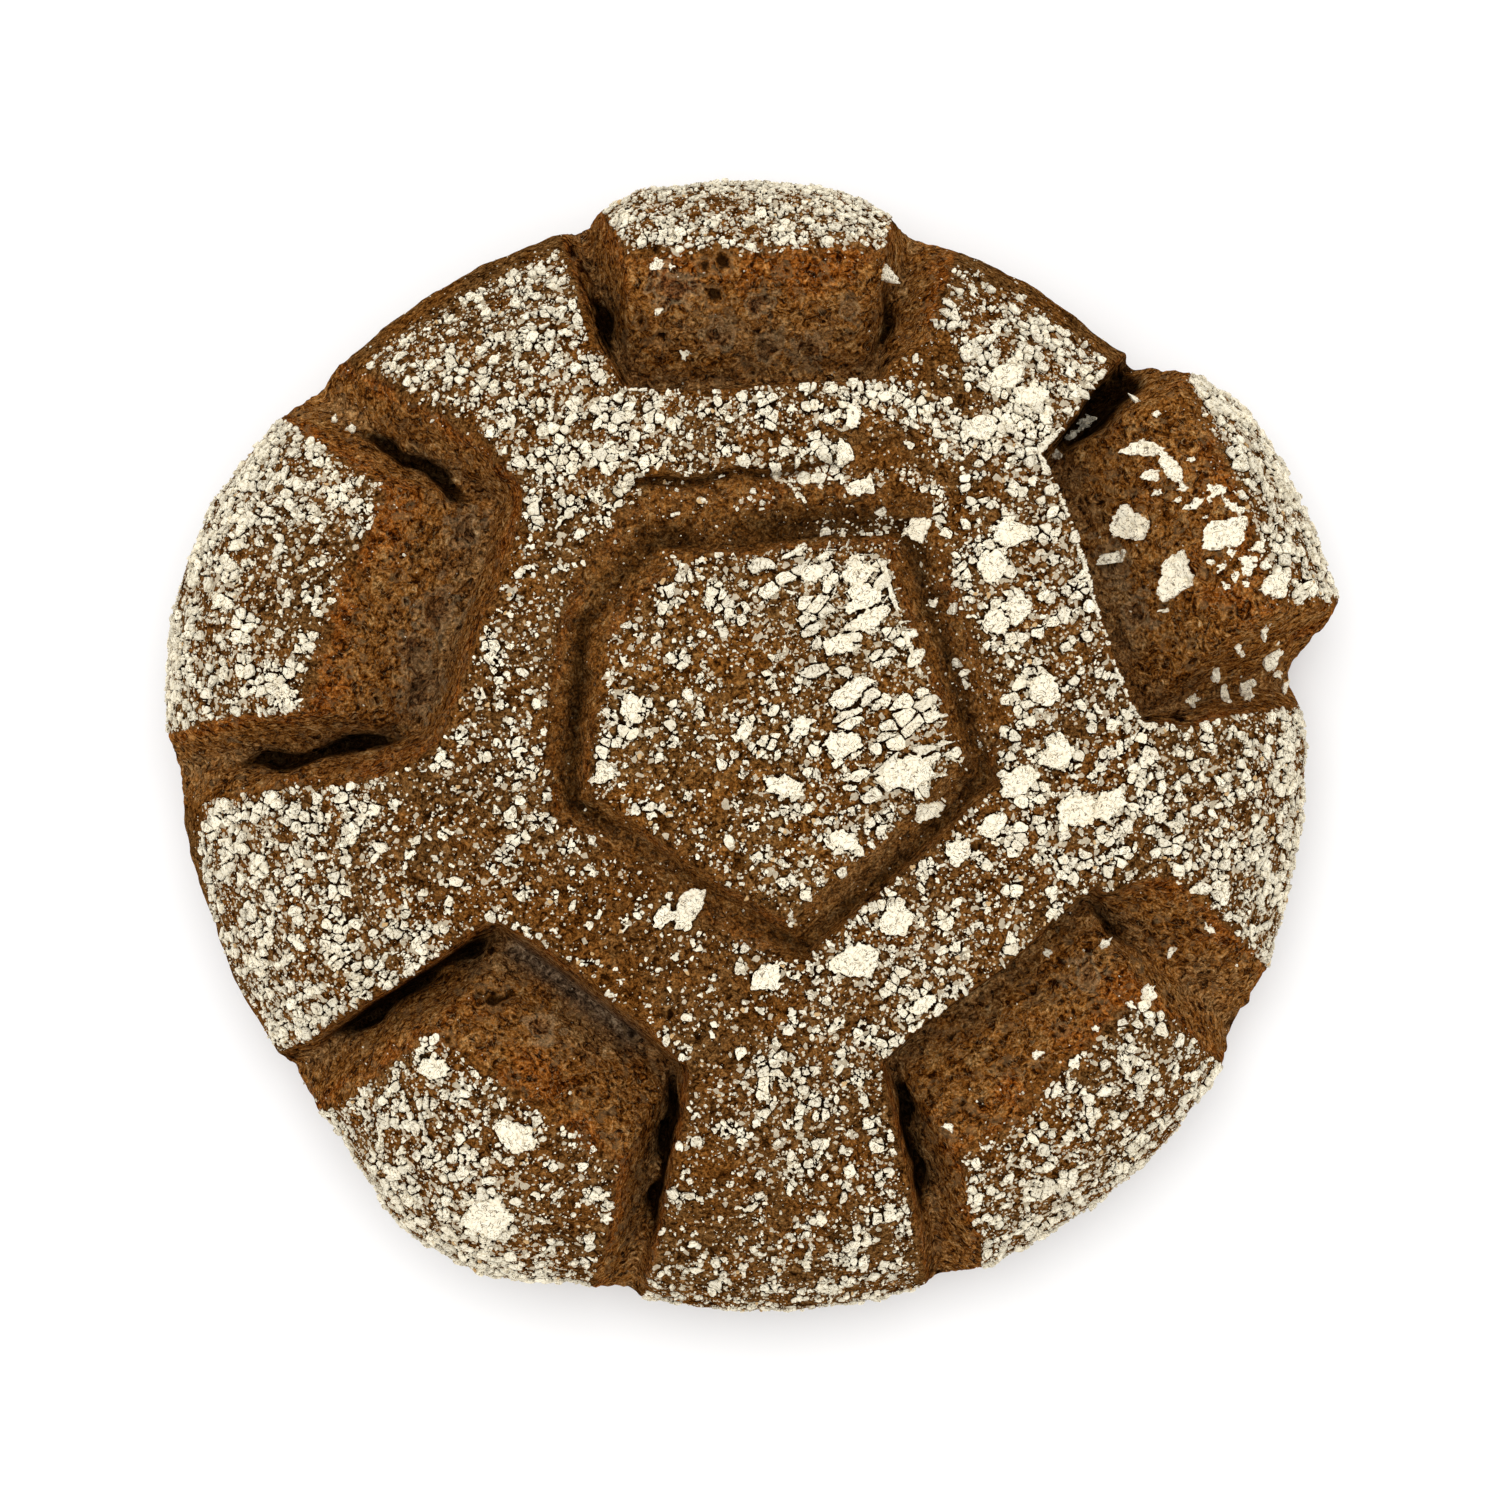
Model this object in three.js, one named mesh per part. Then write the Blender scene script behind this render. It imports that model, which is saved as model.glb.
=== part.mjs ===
// A round dark loaf of bread, stamped before baking: a five-sided island in
// the middle, a band round it, and five blocks that have risen at the rim.
// Millimetres, +Z up. The loaf stands on its flat base at z = 0.
import * as THREE from 'three';
import { mergeVertices } from 'three/addons/utils/BufferGeometryUtils.js';

// ---- driving dimensions -------------------------------------------------
const LOAF_HEIGHT = 58;        // top of the smooth dome, before any groove
const RIM_HEIGHT = 22;         // height of the widest line of the loaf
const DOME_POWER = 2.5;        // how flat the dome's top is
const MEAN_RADIUS = 92.85;     // mean radius at the widest line
const BASE_SHARE = 0.87;       // radius of the flat base as a share of the rim
const CORNER_BLEND = 8;        // length over which a groove's two walls meet at a corner
const MESH_DETAIL = 21;        // fineness of the surface
const ROUNDS = 120;            // rounds of drawing vertices to the steep places
const STEEPNESS = 1.2;         // how strongly steep places draw them

// Uneven roundness of the rim: amounts of cos and sin of 1, 2 and 3 turns.
const RIM_WAVES = [[-0.54, -1.26], [0.79, -1.04], [-0.31, 0.19]];

// Where each block bulges out at the rim: direction and half width in degrees,
// softness of the two flanks in degrees, and the bulge in millimetres.
const RIM_BULGES = [
  { at: 26.15, half: 14.83, softLow: 3.6, softHigh: 7.75, out: 8.5 },
  { at: 90.54, half: 14.12, softLow: 4.69, softHigh: 3.94, out: 3.04 },
  { at: 162.75, half: 15.01, softLow: 11.89, softHigh: 15.11, out: 3.39 },
  { at: 238.01, half: 9.34, softLow: 7.18, softHigh: 6.31, out: 4.78 },
  { at: 318.33, half: 11.05, softLow: 3.0, softHigh: 3.0, out: 0.63 },
];

// The five blocks. A groove runs in from the rim, along the band and out to
// the rim again: `line` is its bottom, `depth` how far that lies under the
// dome. `face` is the width of the block's own slopes (first flank, inner
// face, last flank), `far` the width of the opposite walls. `lift` is how far
// the block has risen, `soft` the rounding of its edges.
const BLOCKS = {
  top: {
    line: [[-33.0, 96.0], [-18.7, 59.7], [21.3, 60.6], [30.2, 96.6]],
    depth: [7, 17, 17, 6], face: [6.0, 21, 4.5], far: [2.6, 1.0, 7.5], lift: 6.0, soft: 1.3,
  },
  right: {
    line: [[71.4, 72.2], [49.1, 48.1], [64.5, 6.1], [101.2, 12.7]],
    depth: [8, 19, 18, 8], face: [8.0, 23, 11.5], far: [1.2, 1.0, 4.0], lift: 7.0, soft: 1.6,
  },
  left: {
    line: [[-77.0, 63.7], [-40.9, 40.0], [-52.7, 3.8], [-100.6, -4.8]],
    depth: [5.5, 14, 15, 5], face: [7.5, 19, 6.5], far: [7.0, 4.8, 6.0], lift: 4.5, soft: 2.6,
  },
  lowerLeft: {
    line: [[-82.4, -57.4], [-40.5, -30.2], [-11.7, -51.1], [-20.8, -98.4]],
    depth: [8, 17, 17, 6], face: [8.0, 18.5, 6.0], far: [2.6, 3.4, 2.4], lift: 5.0, soft: 1.6,
  },
  lowerRight: {
    line: [[34.2, -95.3], [23.8, -51.7], [55.2, -23.5], [85.6, -50.0]],
    depth: [5, 17, 15, 6], face: [7.0, 18, 6.5], far: [2.6, 1.3, 11], lift: 3.5, soft: 1.6,
  },
};

// The groove round the island: corners of its bottom, and for the right,
// lower right, lower left, left and top side the width of the island's slope
// and of the band's slope.
const ISLAND = {
  corner: [[25.0, 35.1], [38.9, -4.6], [9.1, -32.0], [-28.0, -8.6], [-21.9, 32.2]],
  middle: [3.6, 5.5],
  depth: [5.5, 6.5, 6.5, 5.5, 5.5],
  inner: [3.6, 6.0, 2.0, 2.0, 1.6],
  outer: [4.2, 1.6, 5.0, 5.2, 9.5],
  drop: 0.6,
  soft: 1.0,
};

// The shallow ledge on the band above the island.
const LEDGE = { from: [-23.6, 41.8], to: [19.0, 46.2], depth: 1.9, rise: 0.0875, wall: 1.2, soft: 0.6 };

// ---- the form -----------------------------------------------------------
const clamp01 = (v) => Math.min(Math.max(v, 0), 1);
const ease = (v) => { const c = clamp01(v); return c * c * (3 - 2 * c); };

// lower of two heights with a rounded change-over
function softMin(a, b, k) {
  const h = clamp01(0.5 + (0.5 * (b - a)) / k);
  return b * (1 - h) + a * h - k * h * (1 - h);
}

function evenRadius(turn) {
  let r = MEAN_RADIUS;
  RIM_WAVES.forEach(([c, s], i) => { r += c * Math.cos((i + 1) * turn) + s * Math.sin((i + 1) * turn); });
  return r;
}

function rimRadius(turn) {
  let r = evenRadius(turn);
  const degrees = THREE.MathUtils.radToDeg(turn);
  for (const b of RIM_BULGES) {
    const off = THREE.MathUtils.euclideanModulo(degrees - b.at + 180, 360) - 180;
    const soft = off < 0 ? b.softLow : b.softHigh;
    r += b.out * ease((b.half + soft - Math.abs(off)) / (2 * soft));
  }
  return r;
}

// height of the smooth loaf without any stamp
function domeHeight(x, y) {
  const r = Math.hypot(x, y);
  const near = ease((r / MEAN_RADIUS - 0.5) / 0.45);
  const reach = MEAN_RADIUS + (rimRadius(Math.atan2(y, x)) - MEAN_RADIUS) * near;
  const share = Math.min(r / reach, 1);
  return RIM_HEIGHT + (LOAF_HEIGHT - RIM_HEIGHT) * Math.sqrt(1 - share ** DOME_POWER);
}

// nearest point of a straight line a-b, and the signed distance to it
function alongLine(x, y, a, b) {
  const dx = b[0] - a[0];
  const dy = b[1] - a[1];
  const length = Math.hypot(dx, dy);
  const t = clamp01(((x - a[0]) * dx + (y - a[1]) * dy) / (length * length));
  const qx = a[0] + t * dx;
  const qy = a[1] + t * dy;
  return {
    t, qx, qy, length,
    away: Math.hypot(x - qx, y - qy),
    side: (dx * (y - a[1]) - dy * (x - a[0])) / length,
  };
}

const lerp = THREE.MathUtils.lerp;

// height of the stamped loaf at a place inside the rim
function crustHeight(px, py) {
  // broad unevenness of the dough
  let z = domeHeight(px, py)
    + 0.5 * Math.sin(px * 0.085 + 0.4) * Math.sin(py * 0.075 + 1.1)
    + 0.35 * Math.sin(px * 0.17 + py * 0.06) * Math.sin(py * 0.19 - px * 0.05 + 0.5);

  // the stamped lines aren't quite straight
  const wave = 0.45 * Math.sin(px * 0.23 + 1.3 * Math.sin(py * 0.11) + 0.7)
    + 0.4 * Math.sin(py * 0.27 + 1.1 * Math.sin(px * 0.13) + 2.1);
  const x = px + 0.5 * Math.sin(py * 0.12 + 0.6) + 0.5 * wave;
  const y = py + 0.5 * Math.sin(px * 0.11 + 2.0) - 0.5 * wave;

  // risen blocks and the sunken island
  const cuts = [];
  for (const block of Object.values(BLOCKS)) {
    const p = block.line;
    const cx = 0.675 * (p[1][0] + p[2][0]);
    const cy = 0.675 * (p[1][1] + p[2][1]);
    const sides = [0, 1, 2].map((i) => {
      const s = alongLine(x, y, p[i], p[i + 1]);
      s.side *= Math.sign(alongLine(cx, cy, p[i], p[i + 1]).side);
      return s;
    });
    const inside = Math.min(...sides.map((s) => s.side));
    z += block.lift * ease((inside + 0.5) / 6);
    cuts.push({ block, sides, inside });
  }
  const ring = ISLAND.corner;
  const count = ring.length;
  const islandSides = ring.map((a, i) => {
    const b = ring[(i + 1) % count];
    const s = alongLine(x, y, a, b);
    s.side *= Math.sign(alongLine(ISLAND.middle[0], ISLAND.middle[1], a, b).side);
    return s;
  });
  const insideIsland = Math.min(...islandSides.map((s) => s.side));
  z -= ISLAND.drop * ease((insideIsland + 2) / 5);

  let h = z;
  const slope = (bottom, share) => z - Math.max(z - bottom, 0.5) * (1 - share);

  for (const { block, sides, inside } of cuts) {
    let cut = Infinity;
    sides.forEach((s, i) => {
      const bottom = domeHeight(s.qx, s.qy) - lerp(block.depth[i], block.depth[i + 1], s.t);
      let far = block.far[i];
      if (i > 0) far = lerp(far, Math.min(far, block.far[i - 1]), ease(1 - (s.t * s.length) / CORNER_BLEND));
      if (i < 2) far = lerp(far, Math.min(far, block.far[i + 1]), ease(1 - ((1 - s.t) * s.length) / CORNER_BLEND));
      const share = inside > 0 ? Math.max(s.side, 0) / block.face[i] : s.away / far;
      cut = Math.min(cut, slope(bottom, share));
    });
    h = softMin(h, cut, block.soft);
  }

  let cut = Infinity;
  islandSides.forEach((s, i) => {
    const next = (i + 1) % count;
    const last = (i + count - 1) % count;
    const bottom = domeHeight(s.qx, s.qy) - lerp(ISLAND.depth[i], ISLAND.depth[next], s.t);
    let far = ISLAND.outer[i];
    far = lerp(far, Math.min(far, ISLAND.outer[last]), ease(1 - (s.t * s.length) / CORNER_BLEND));
    far = lerp(far, Math.min(far, ISLAND.outer[next]), ease(1 - ((1 - s.t) * s.length) / CORNER_BLEND));
    const share = insideIsland > 0 ? Math.max(s.side, 0) / ISLAND.inner[i] : s.away / far;
    cut = Math.min(cut, slope(bottom, share));
  });
  h = softMin(h, cut, ISLAND.soft);

  const ledge = alongLine(x, y, LEDGE.from, LEDGE.to);
  const floor = z - LEDGE.depth * ease(ledge.t / 0.15) * ease((1 - ledge.t) / 0.15);
  const rise = ledge.side < 0 ? LEDGE.rise : LEDGE.depth / LEDGE.wall;
  return softMin(h, floor + ledge.away * rise, LEDGE.soft);
}

// ---- from a ball to the loaf ---------------------------------------------
// Polar angles on a ball that become the rim and the edge of the flat base.
const RIM_POLAR = THREE.MathUtils.degToRad(125);
const BASE_POLAR = THREE.MathUtils.degToRad(152);

function loafPoint(direction, target) {
  const turn = Math.atan2(direction.y, direction.x);
  const polar = Math.acos(THREE.MathUtils.clamp(direction.z, -1, 1));
  const rim = rimRadius(turn);
  const cos = Math.cos(turn);
  const sin = Math.sin(turn);
  if (polar <= RIM_POLAR) {
    const share = Math.sin(polar / 2) / Math.sin(RIM_POLAR / 2);
    const r = share * lerp(MEAN_RADIUS, rim, ease((share - 0.45) / 0.5));
    return target.set(r * cos, r * sin, crustHeight(r * cos, r * sin));
  }
  const even = evenRadius(turn);
  const foot = BASE_SHARE * even + 0.25 * (rim - even);
  if (polar < BASE_POLAR) {
    const down = (((polar - RIM_POLAR) / (BASE_POLAR - RIM_POLAR)) * Math.PI) / 2;
    const r = foot + (rim - foot) * Math.cos(down);
    return target.set(r * cos, r * sin, crustHeight(rim * cos, rim * sin) * (1 - Math.sin(down)));
  }
  const r = (foot * (Math.PI - polar)) / (Math.PI - BASE_POLAR);
  return target.set(r * cos, r * sin, 0);
}

// Two triangles that share an edge are cut along the other diagonal of their
// four corners where that one lies closer to the crust.
function turnEdges(way, spot, index) {
  const tris = [];
  for (let i = 0; i < index.count; i += 3) tris.push([index.getX(i), index.getX(i + 1), index.getX(i + 2)]);
  const middle = new THREE.Vector3();
  const point = new THREE.Vector3();
  const gap = (a, b) => {
    middle.copy(way[a]).add(way[b]).normalize();
    loafPoint(middle, point);
    return middle.copy(spot[a]).add(spot[b]).multiplyScalar(0.5).distanceTo(point);
  };
  const cross = new THREE.Vector3();
  const outward = (a, b, c) => cross.copy(way[a]).cross(way[b]).dot(way[c]);
  const onTop = (v) => way[v].z > Math.cos(RIM_POLAR);
  const folded = (a, b, c) => onTop(a) && onTop(b) && onTop(c)
    && (spot[b].x - spot[a].x) * (spot[c].y - spot[a].y) < (spot[b].y - spot[a].y) * (spot[c].x - spot[a].x) + 0.02;
  const size = way.length;
  for (let pass = 0; pass < 5; pass++) {
    const owner = new Map();
    tris.forEach((t, n) => {
      for (let k = 0; k < 3; k++) owner.set(t[k] * size + t[(k + 1) % 3], n);
    });
    const touched = new Set();
    let turned = 0;
    for (const [key, n] of owner) {
      const a = Math.floor(key / size);
      const b = key % size;
      const m = owner.get(b * size + a);
      if (a > b || touched.has(n) || touched.has(m)) continue;
      const c = tris[n].find((v) => v !== a && v !== b);
      const d = tris[m].find((v) => v !== a && v !== b);
      if (owner.has(c * size + d) || owner.has(d * size + c)) continue;
      const least = 0.25 * Math.min(outward(a, b, c), outward(b, a, d));
      if (outward(c, d, b) < least || outward(d, c, a) < least) continue;
      if (folded(c, d, b) || folded(d, c, a)) continue;
      if (gap(c, d) > 0.9 * gap(a, b) - 0.05) continue;
      tris[n] = [c, d, b];
      tris[m] = [d, c, a];
      touched.add(n).add(m);
      turned++;
    }
    if (turned === 0) break;
  }
  tris.forEach((t, n) => t.forEach((v, k) => index.setX(3 * n + k, v)));
}

function makeLoaf() {
  const ball = new THREE.IcosahedronGeometry(1, MESH_DETAIL);
  ball.deleteAttribute('normal');
  ball.deleteAttribute('uv');
  const geometry = mergeVertices(ball, 1e-5);
  const position = geometry.attributes.position;
  const index = geometry.index;
  const count = position.count;

  const way = [];
  for (let i = 0; i < count; i++) way.push(new THREE.Vector3().fromBufferAttribute(position, i).normalize());
  const edges = new Set();
  for (let i = 0; i < index.count; i += 3) {
    for (let k = 0; k < 3; k++) {
      const a = index.getX(i + k);
      const b = index.getX(i + ((k + 1) % 3));
      edges.add(Math.min(a, b) * count + Math.max(a, b));
    }
  }

  // Draw the vertices together where the crust is steep, so that the edges of
  // grooves and blocks are met well.
  const spot = way.map(() => new THREE.Vector3());
  for (let round = 0; round < ROUNDS; round++) {
    way.forEach((w, i) => loafPoint(w, spot[i]));
    const pull = way.map(() => new THREE.Vector3());
    const weight = new Float64Array(count);
    for (const edge of edges) {
      const a = Math.floor(edge / count);
      const b = edge % count;
      const w = (spot[a].distanceTo(spot[b]) / way[a].distanceTo(way[b])) ** STEEPNESS;
      pull[a].addScaledVector(way[b], w);
      pull[b].addScaledVector(way[a], w);
      weight[a] += w;
      weight[b] += w;
    }
    way.forEach((w, i) => {
      if (Math.acos(THREE.MathUtils.clamp(w.z, -1, 1)) > BASE_POLAR) return;
      w.lerp(pull[i].divideScalar(weight[i]), 0.6).normalize();
    });
  }
  way.forEach((w, i) => loafPoint(w, spot[i]));

  turnEdges(way, spot, index);
  way.forEach((w, i) => position.setXYZ(i, spot[i].x, spot[i].y, spot[i].z));
  geometry.computeBoundingBox();
  const box = geometry.boundingBox;
  geometry.translate(-(box.min.x + box.max.x) / 2, -(box.min.y + box.max.y) / 2, 0);
  geometry.computeVertexNormals();
  return geometry;
}

const crust = new THREE.MeshStandardMaterial({ color: 0x6f4423, roughness: 0.85, metalness: 0 });

const loaf = new THREE.Mesh(makeLoaf(), crust);
loaf.name = 'loaf';

const bread = new THREE.Group();
bread.add(loaf);

export default bread;
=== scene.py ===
import math

import bpy
import numpy as np
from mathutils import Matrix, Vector


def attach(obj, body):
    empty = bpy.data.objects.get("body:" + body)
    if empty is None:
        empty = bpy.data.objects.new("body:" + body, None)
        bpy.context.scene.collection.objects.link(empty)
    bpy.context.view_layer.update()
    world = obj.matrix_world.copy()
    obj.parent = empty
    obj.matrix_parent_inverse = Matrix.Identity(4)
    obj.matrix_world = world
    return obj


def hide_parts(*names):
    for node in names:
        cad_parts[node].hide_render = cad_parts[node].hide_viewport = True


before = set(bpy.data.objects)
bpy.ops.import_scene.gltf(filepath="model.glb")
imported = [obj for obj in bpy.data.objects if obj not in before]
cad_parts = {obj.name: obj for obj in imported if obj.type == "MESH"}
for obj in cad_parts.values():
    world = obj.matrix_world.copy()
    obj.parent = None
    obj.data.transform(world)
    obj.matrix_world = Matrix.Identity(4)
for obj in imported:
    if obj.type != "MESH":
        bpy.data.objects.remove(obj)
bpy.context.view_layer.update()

# A round dark loaf, stamped before baking, with a broken layer of flour.
# All sizes are in millimetres until a mesh is made; Blender's metres come last.
MM = 0.001

# ---------------------------------------------------------------------------
# Form of the loaf
# ---------------------------------------------------------------------------
LOAF_HEIGHT = 58.0
RIM_HEIGHT = 22.0
DOME_POWER = 2.5
MEAN_RADIUS = 92.85
BASE_SHARE = 0.87
CORNER_BLEND = 8.0

RIM_WAVES = ((-0.54, -1.26), (0.79, -1.04), (-0.31, 0.19))

# direction, half width, softness of the two flanks (degrees), bulge (mm)
RIM_BULGES = (
    (26.15, 14.83, 3.6, 7.75, 8.5),
    (90.54, 14.12, 4.69, 3.94, 3.04),
    (162.75, 15.01, 11.89, 15.11, 3.39),
    (238.01, 9.34, 7.18, 6.31, 4.78),
    (318.33, 11.05, 3.0, 3.0, 0.63),
)

# groove bottom, its depth, widths of the block's slopes and of the far walls,
# how far the block has risen, rounding of its edges
BLOCKS = (
    dict(line=((-33.0, 96.0), (-18.7, 59.7), (21.3, 60.6), (30.2, 96.6)),
         depth=(7, 17, 17, 6), face=(6.0, 21, 4.5), far=(2.6, 1.6, 7.5), lift=6.0, soft=1.3, fringe=(.50, .55, .0)),
    dict(line=((71.4, 72.2), (49.1, 48.1), (64.5, 6.1), (101.2, 12.7)),
         depth=(8, 19, 18, 8), face=(8.0, 23, 11.5), far=(1.7, 1.6, 4.0), lift=7.0, soft=1.6, fringe=(.85, .85, .0)),
    dict(line=((-77.0, 63.7), (-40.9, 40.0), (-52.7, 3.8), (-100.6, -4.8)),
         depth=(5.5, 14, 15, 5), face=(7.5, 19, 6.5), far=(7.0, 4.8, 6.0), lift=4.5, soft=2.6, fringe=(.0, .0, .0)),
    dict(line=((-82.4, -57.4), (-40.5, -30.2), (-11.7, -51.1), (-20.8, -98.4)),
         depth=(8, 17, 17, 6), face=(8.0, 18.5, 6.0), far=(2.6, 3.4, 2.4), lift=5.0, soft=1.6, fringe=(.45, .10, .0)),
    dict(line=((34.2, -95.3), (23.8, -51.7), (55.2, -23.5), (85.6, -50.0)),
         depth=(5, 17, 15, 6), face=(7.0, 18, 6.5), far=(2.6, 1.7, 11), lift=3.5, soft=1.6, fringe=(.35, .45, .0)),
)

ISLAND = dict(
    corner=((25.0, 35.1), (38.9, -4.6), (9.1, -32.0), (-28.0, -8.6), (-25.8, 19.0), (-15.5, 33.6)),
    middle=(3.6, 5.5), depth=(5.5, 6.5, 6.5, 5.5, 5.2, 4.2),
    inner=((5.4, 3.4), (5.2, 5.8), (2.2, 2.8), (3.0, 4.6), (4.8, 5.0), (3.0, 2.2)), outer=(6.2, 1.6, 5.0, 5.2, 8.0, 9.5), drop=0.6, soft=0.6,
    fringe=(0.62, 0.45, 0.30, 0.1, 0.0, 0.50))

LEDGE = dict(start=(-23.6, 41.8), end=(19.0, 46.2), depth=1.9, rise=0.0875, wall=1.2, soft=0.6)


def ease(v):
    c = np.clip(v, 0.0, 1.0)
    return c * c * (3.0 - 2.0 * c)


def soft_min(a, b, k):
    h = np.clip(0.5 + 0.5 * (b - a) / k, 0.0, 1.0)
    return b * (1 - h) + a * h - k * h * (1 - h)


def lerp(a, b, t):
    return a + (b - a) * t


def even_radius(turn):
    r = np.full(np.shape(turn), MEAN_RADIUS)
    for i, (c, s) in enumerate(RIM_WAVES):
        r = r + c * np.cos((i + 1) * turn) + s * np.sin((i + 1) * turn)
    return r


def rim_radius(turn):
    r = even_radius(turn)
    degrees = np.degrees(turn)
    for at, half, low, high, out in RIM_BULGES:
        off = (degrees - at + 180.0) % 360.0 - 180.0
        soft = np.where(off < 0, low, high)
        r = r + out * ease((half + soft - np.abs(off)) / (2 * soft))
    return r


def dome_height(x, y):
    r = np.hypot(x, y)
    near = ease((r / MEAN_RADIUS - 0.5) / 0.45)
    reach = MEAN_RADIUS + (rim_radius(np.arctan2(y, x)) - MEAN_RADIUS) * near
    share = np.minimum(r / reach, 1.0)
    return RIM_HEIGHT + (LOAF_HEIGHT - RIM_HEIGHT) * np.sqrt(1.0 - share ** DOME_POWER)


def along_line(x, y, a, b):
    dx, dy = b[0] - a[0], b[1] - a[1]
    length = math.hypot(dx, dy)
    t = np.clip(((x - a[0]) * dx + (y - a[1]) * dy) / (length * length), 0.0, 1.0)
    qx, qy = a[0] + t * dx, a[1] + t * dy
    side = (dx * (y - a[1]) - dy * (x - a[0])) / length
    return t, qx, qy, np.hypot(x - qx, y - qy), side, length


def side_sign(p, a, b):
    return math.copysign(1.0, (b[0] - a[0]) * (p[1] - a[1]) - (b[1] - a[1]) * (p[0] - a[0]))


# Narrow tears at the bottom of the grooves: points in plan, width, depth, and
# whether it may leave the groove.
SLITS = (
    (((-66, 53.5), (-59, 49.5), (-53, 46), (-48, 42), (-43, 39.5)), 2.6, 5.2, False),
    (((-86, -2.8), (-74, -1.8), (-65, 0.8), (-54, 2.6)), 2.4, 7.5, False),
    (((-70, -49), (-57, -39.8), (-49, -34.6), (-40, -29)), 2.7, 7.0, False),
    (((-11.5, -50.5), (-12.3, -59), (-13.5, -67), (-16.5, -82)), 2.2, 6.5, False),
    (((24, -51), (25.5, -59), (27.5, -67), (29, -78)), 2.2, 6.0, False),
    (((50.5, 47.5), (53.5, 51.5), (58.2, 56.6), (63, 61.6), (67, 65.5)), 4.4, 9.0, False),
    (((-27, 78), (-24, 70), (-20.5, 62)), 2.6, 6.0, False),
    (((23.5, 78), (22.8, 70), (21, 62)), 2.2, 4.0, False),
    (((53.5, -22.6), (57, -26), (60.5, -29.5), (66, -34)), 2.6, 3.2, False),
    (((-25.8, 18), (-27.4, 5), (-28.2, -7)), 2.4, 1.6, False),
    (((-22.5, -33.5), (-18, -35.5), (-13.5, -35.6)), 0.9, 1.6, True),
    (((-22.6, 41.5), (-11, 43.0), (2, 44.2), (14.5, 45.5)), 1.2, 2.2, True),
    (((-18.5, 52.0), (-19.5, 56.0)), 0.7, 1.0, True),
)


def slit_depth(x, y, room):
    """Depth of the tears, and how far in it a place is, which sets the shade painted into them."""
    depth = np.zeros(np.shape(x))
    share = np.zeros(np.shape(x))
    for points, width, deep, free in SLITS:
        x0, x1 = min(p[0] for p in points) - 4, max(p[0] for p in points) + 4
        y0, y1 = min(p[1] for p in points) - 4, max(p[1] for p in points) + 4
        near = (x > x0) & (x < x1) & (y > y0) & (y < y1)
        if not near.any():
            continue
        a, b = x[near], y[near]
        wob = 0.5 * np.sin(0.55 * a + 0.35 * b) + 0.4 * np.sin(1.1 * b - 0.8 * a)
        a2, b2 = a + 0.5 * np.sin(0.6 * b + 0.3 * a), b + 0.5 * np.sin(0.5 * a - 0.3 * b)
        best = np.full(a.shape, 99.0)
        for i in range(len(points) - 1):
            t, qx, qy, away, side, length = along_line(a2, b2, points[i], points[i + 1])
            best = np.minimum(best, away)
        ends = np.minimum(np.hypot(a - points[0][0], b - points[0][1]), np.hypot(a - points[-1][0], b - points[-1][1]))
        size = 0.5 * width * (0.35 + 0.65 * ease(ends / 8.0)) * (1 + 0.35 * wob)
        here = (0.2 + 0.8 * ease(ends / 8.0)) * ease(1.5 - best / size)
        if not free:
            here = here * room[near]
        depth[near] = np.maximum(depth[near], deep * here)
        share[near] = np.maximum(share[near], here * min(1.0, 0.12 + deep / 6.0))
    return depth, share


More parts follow.
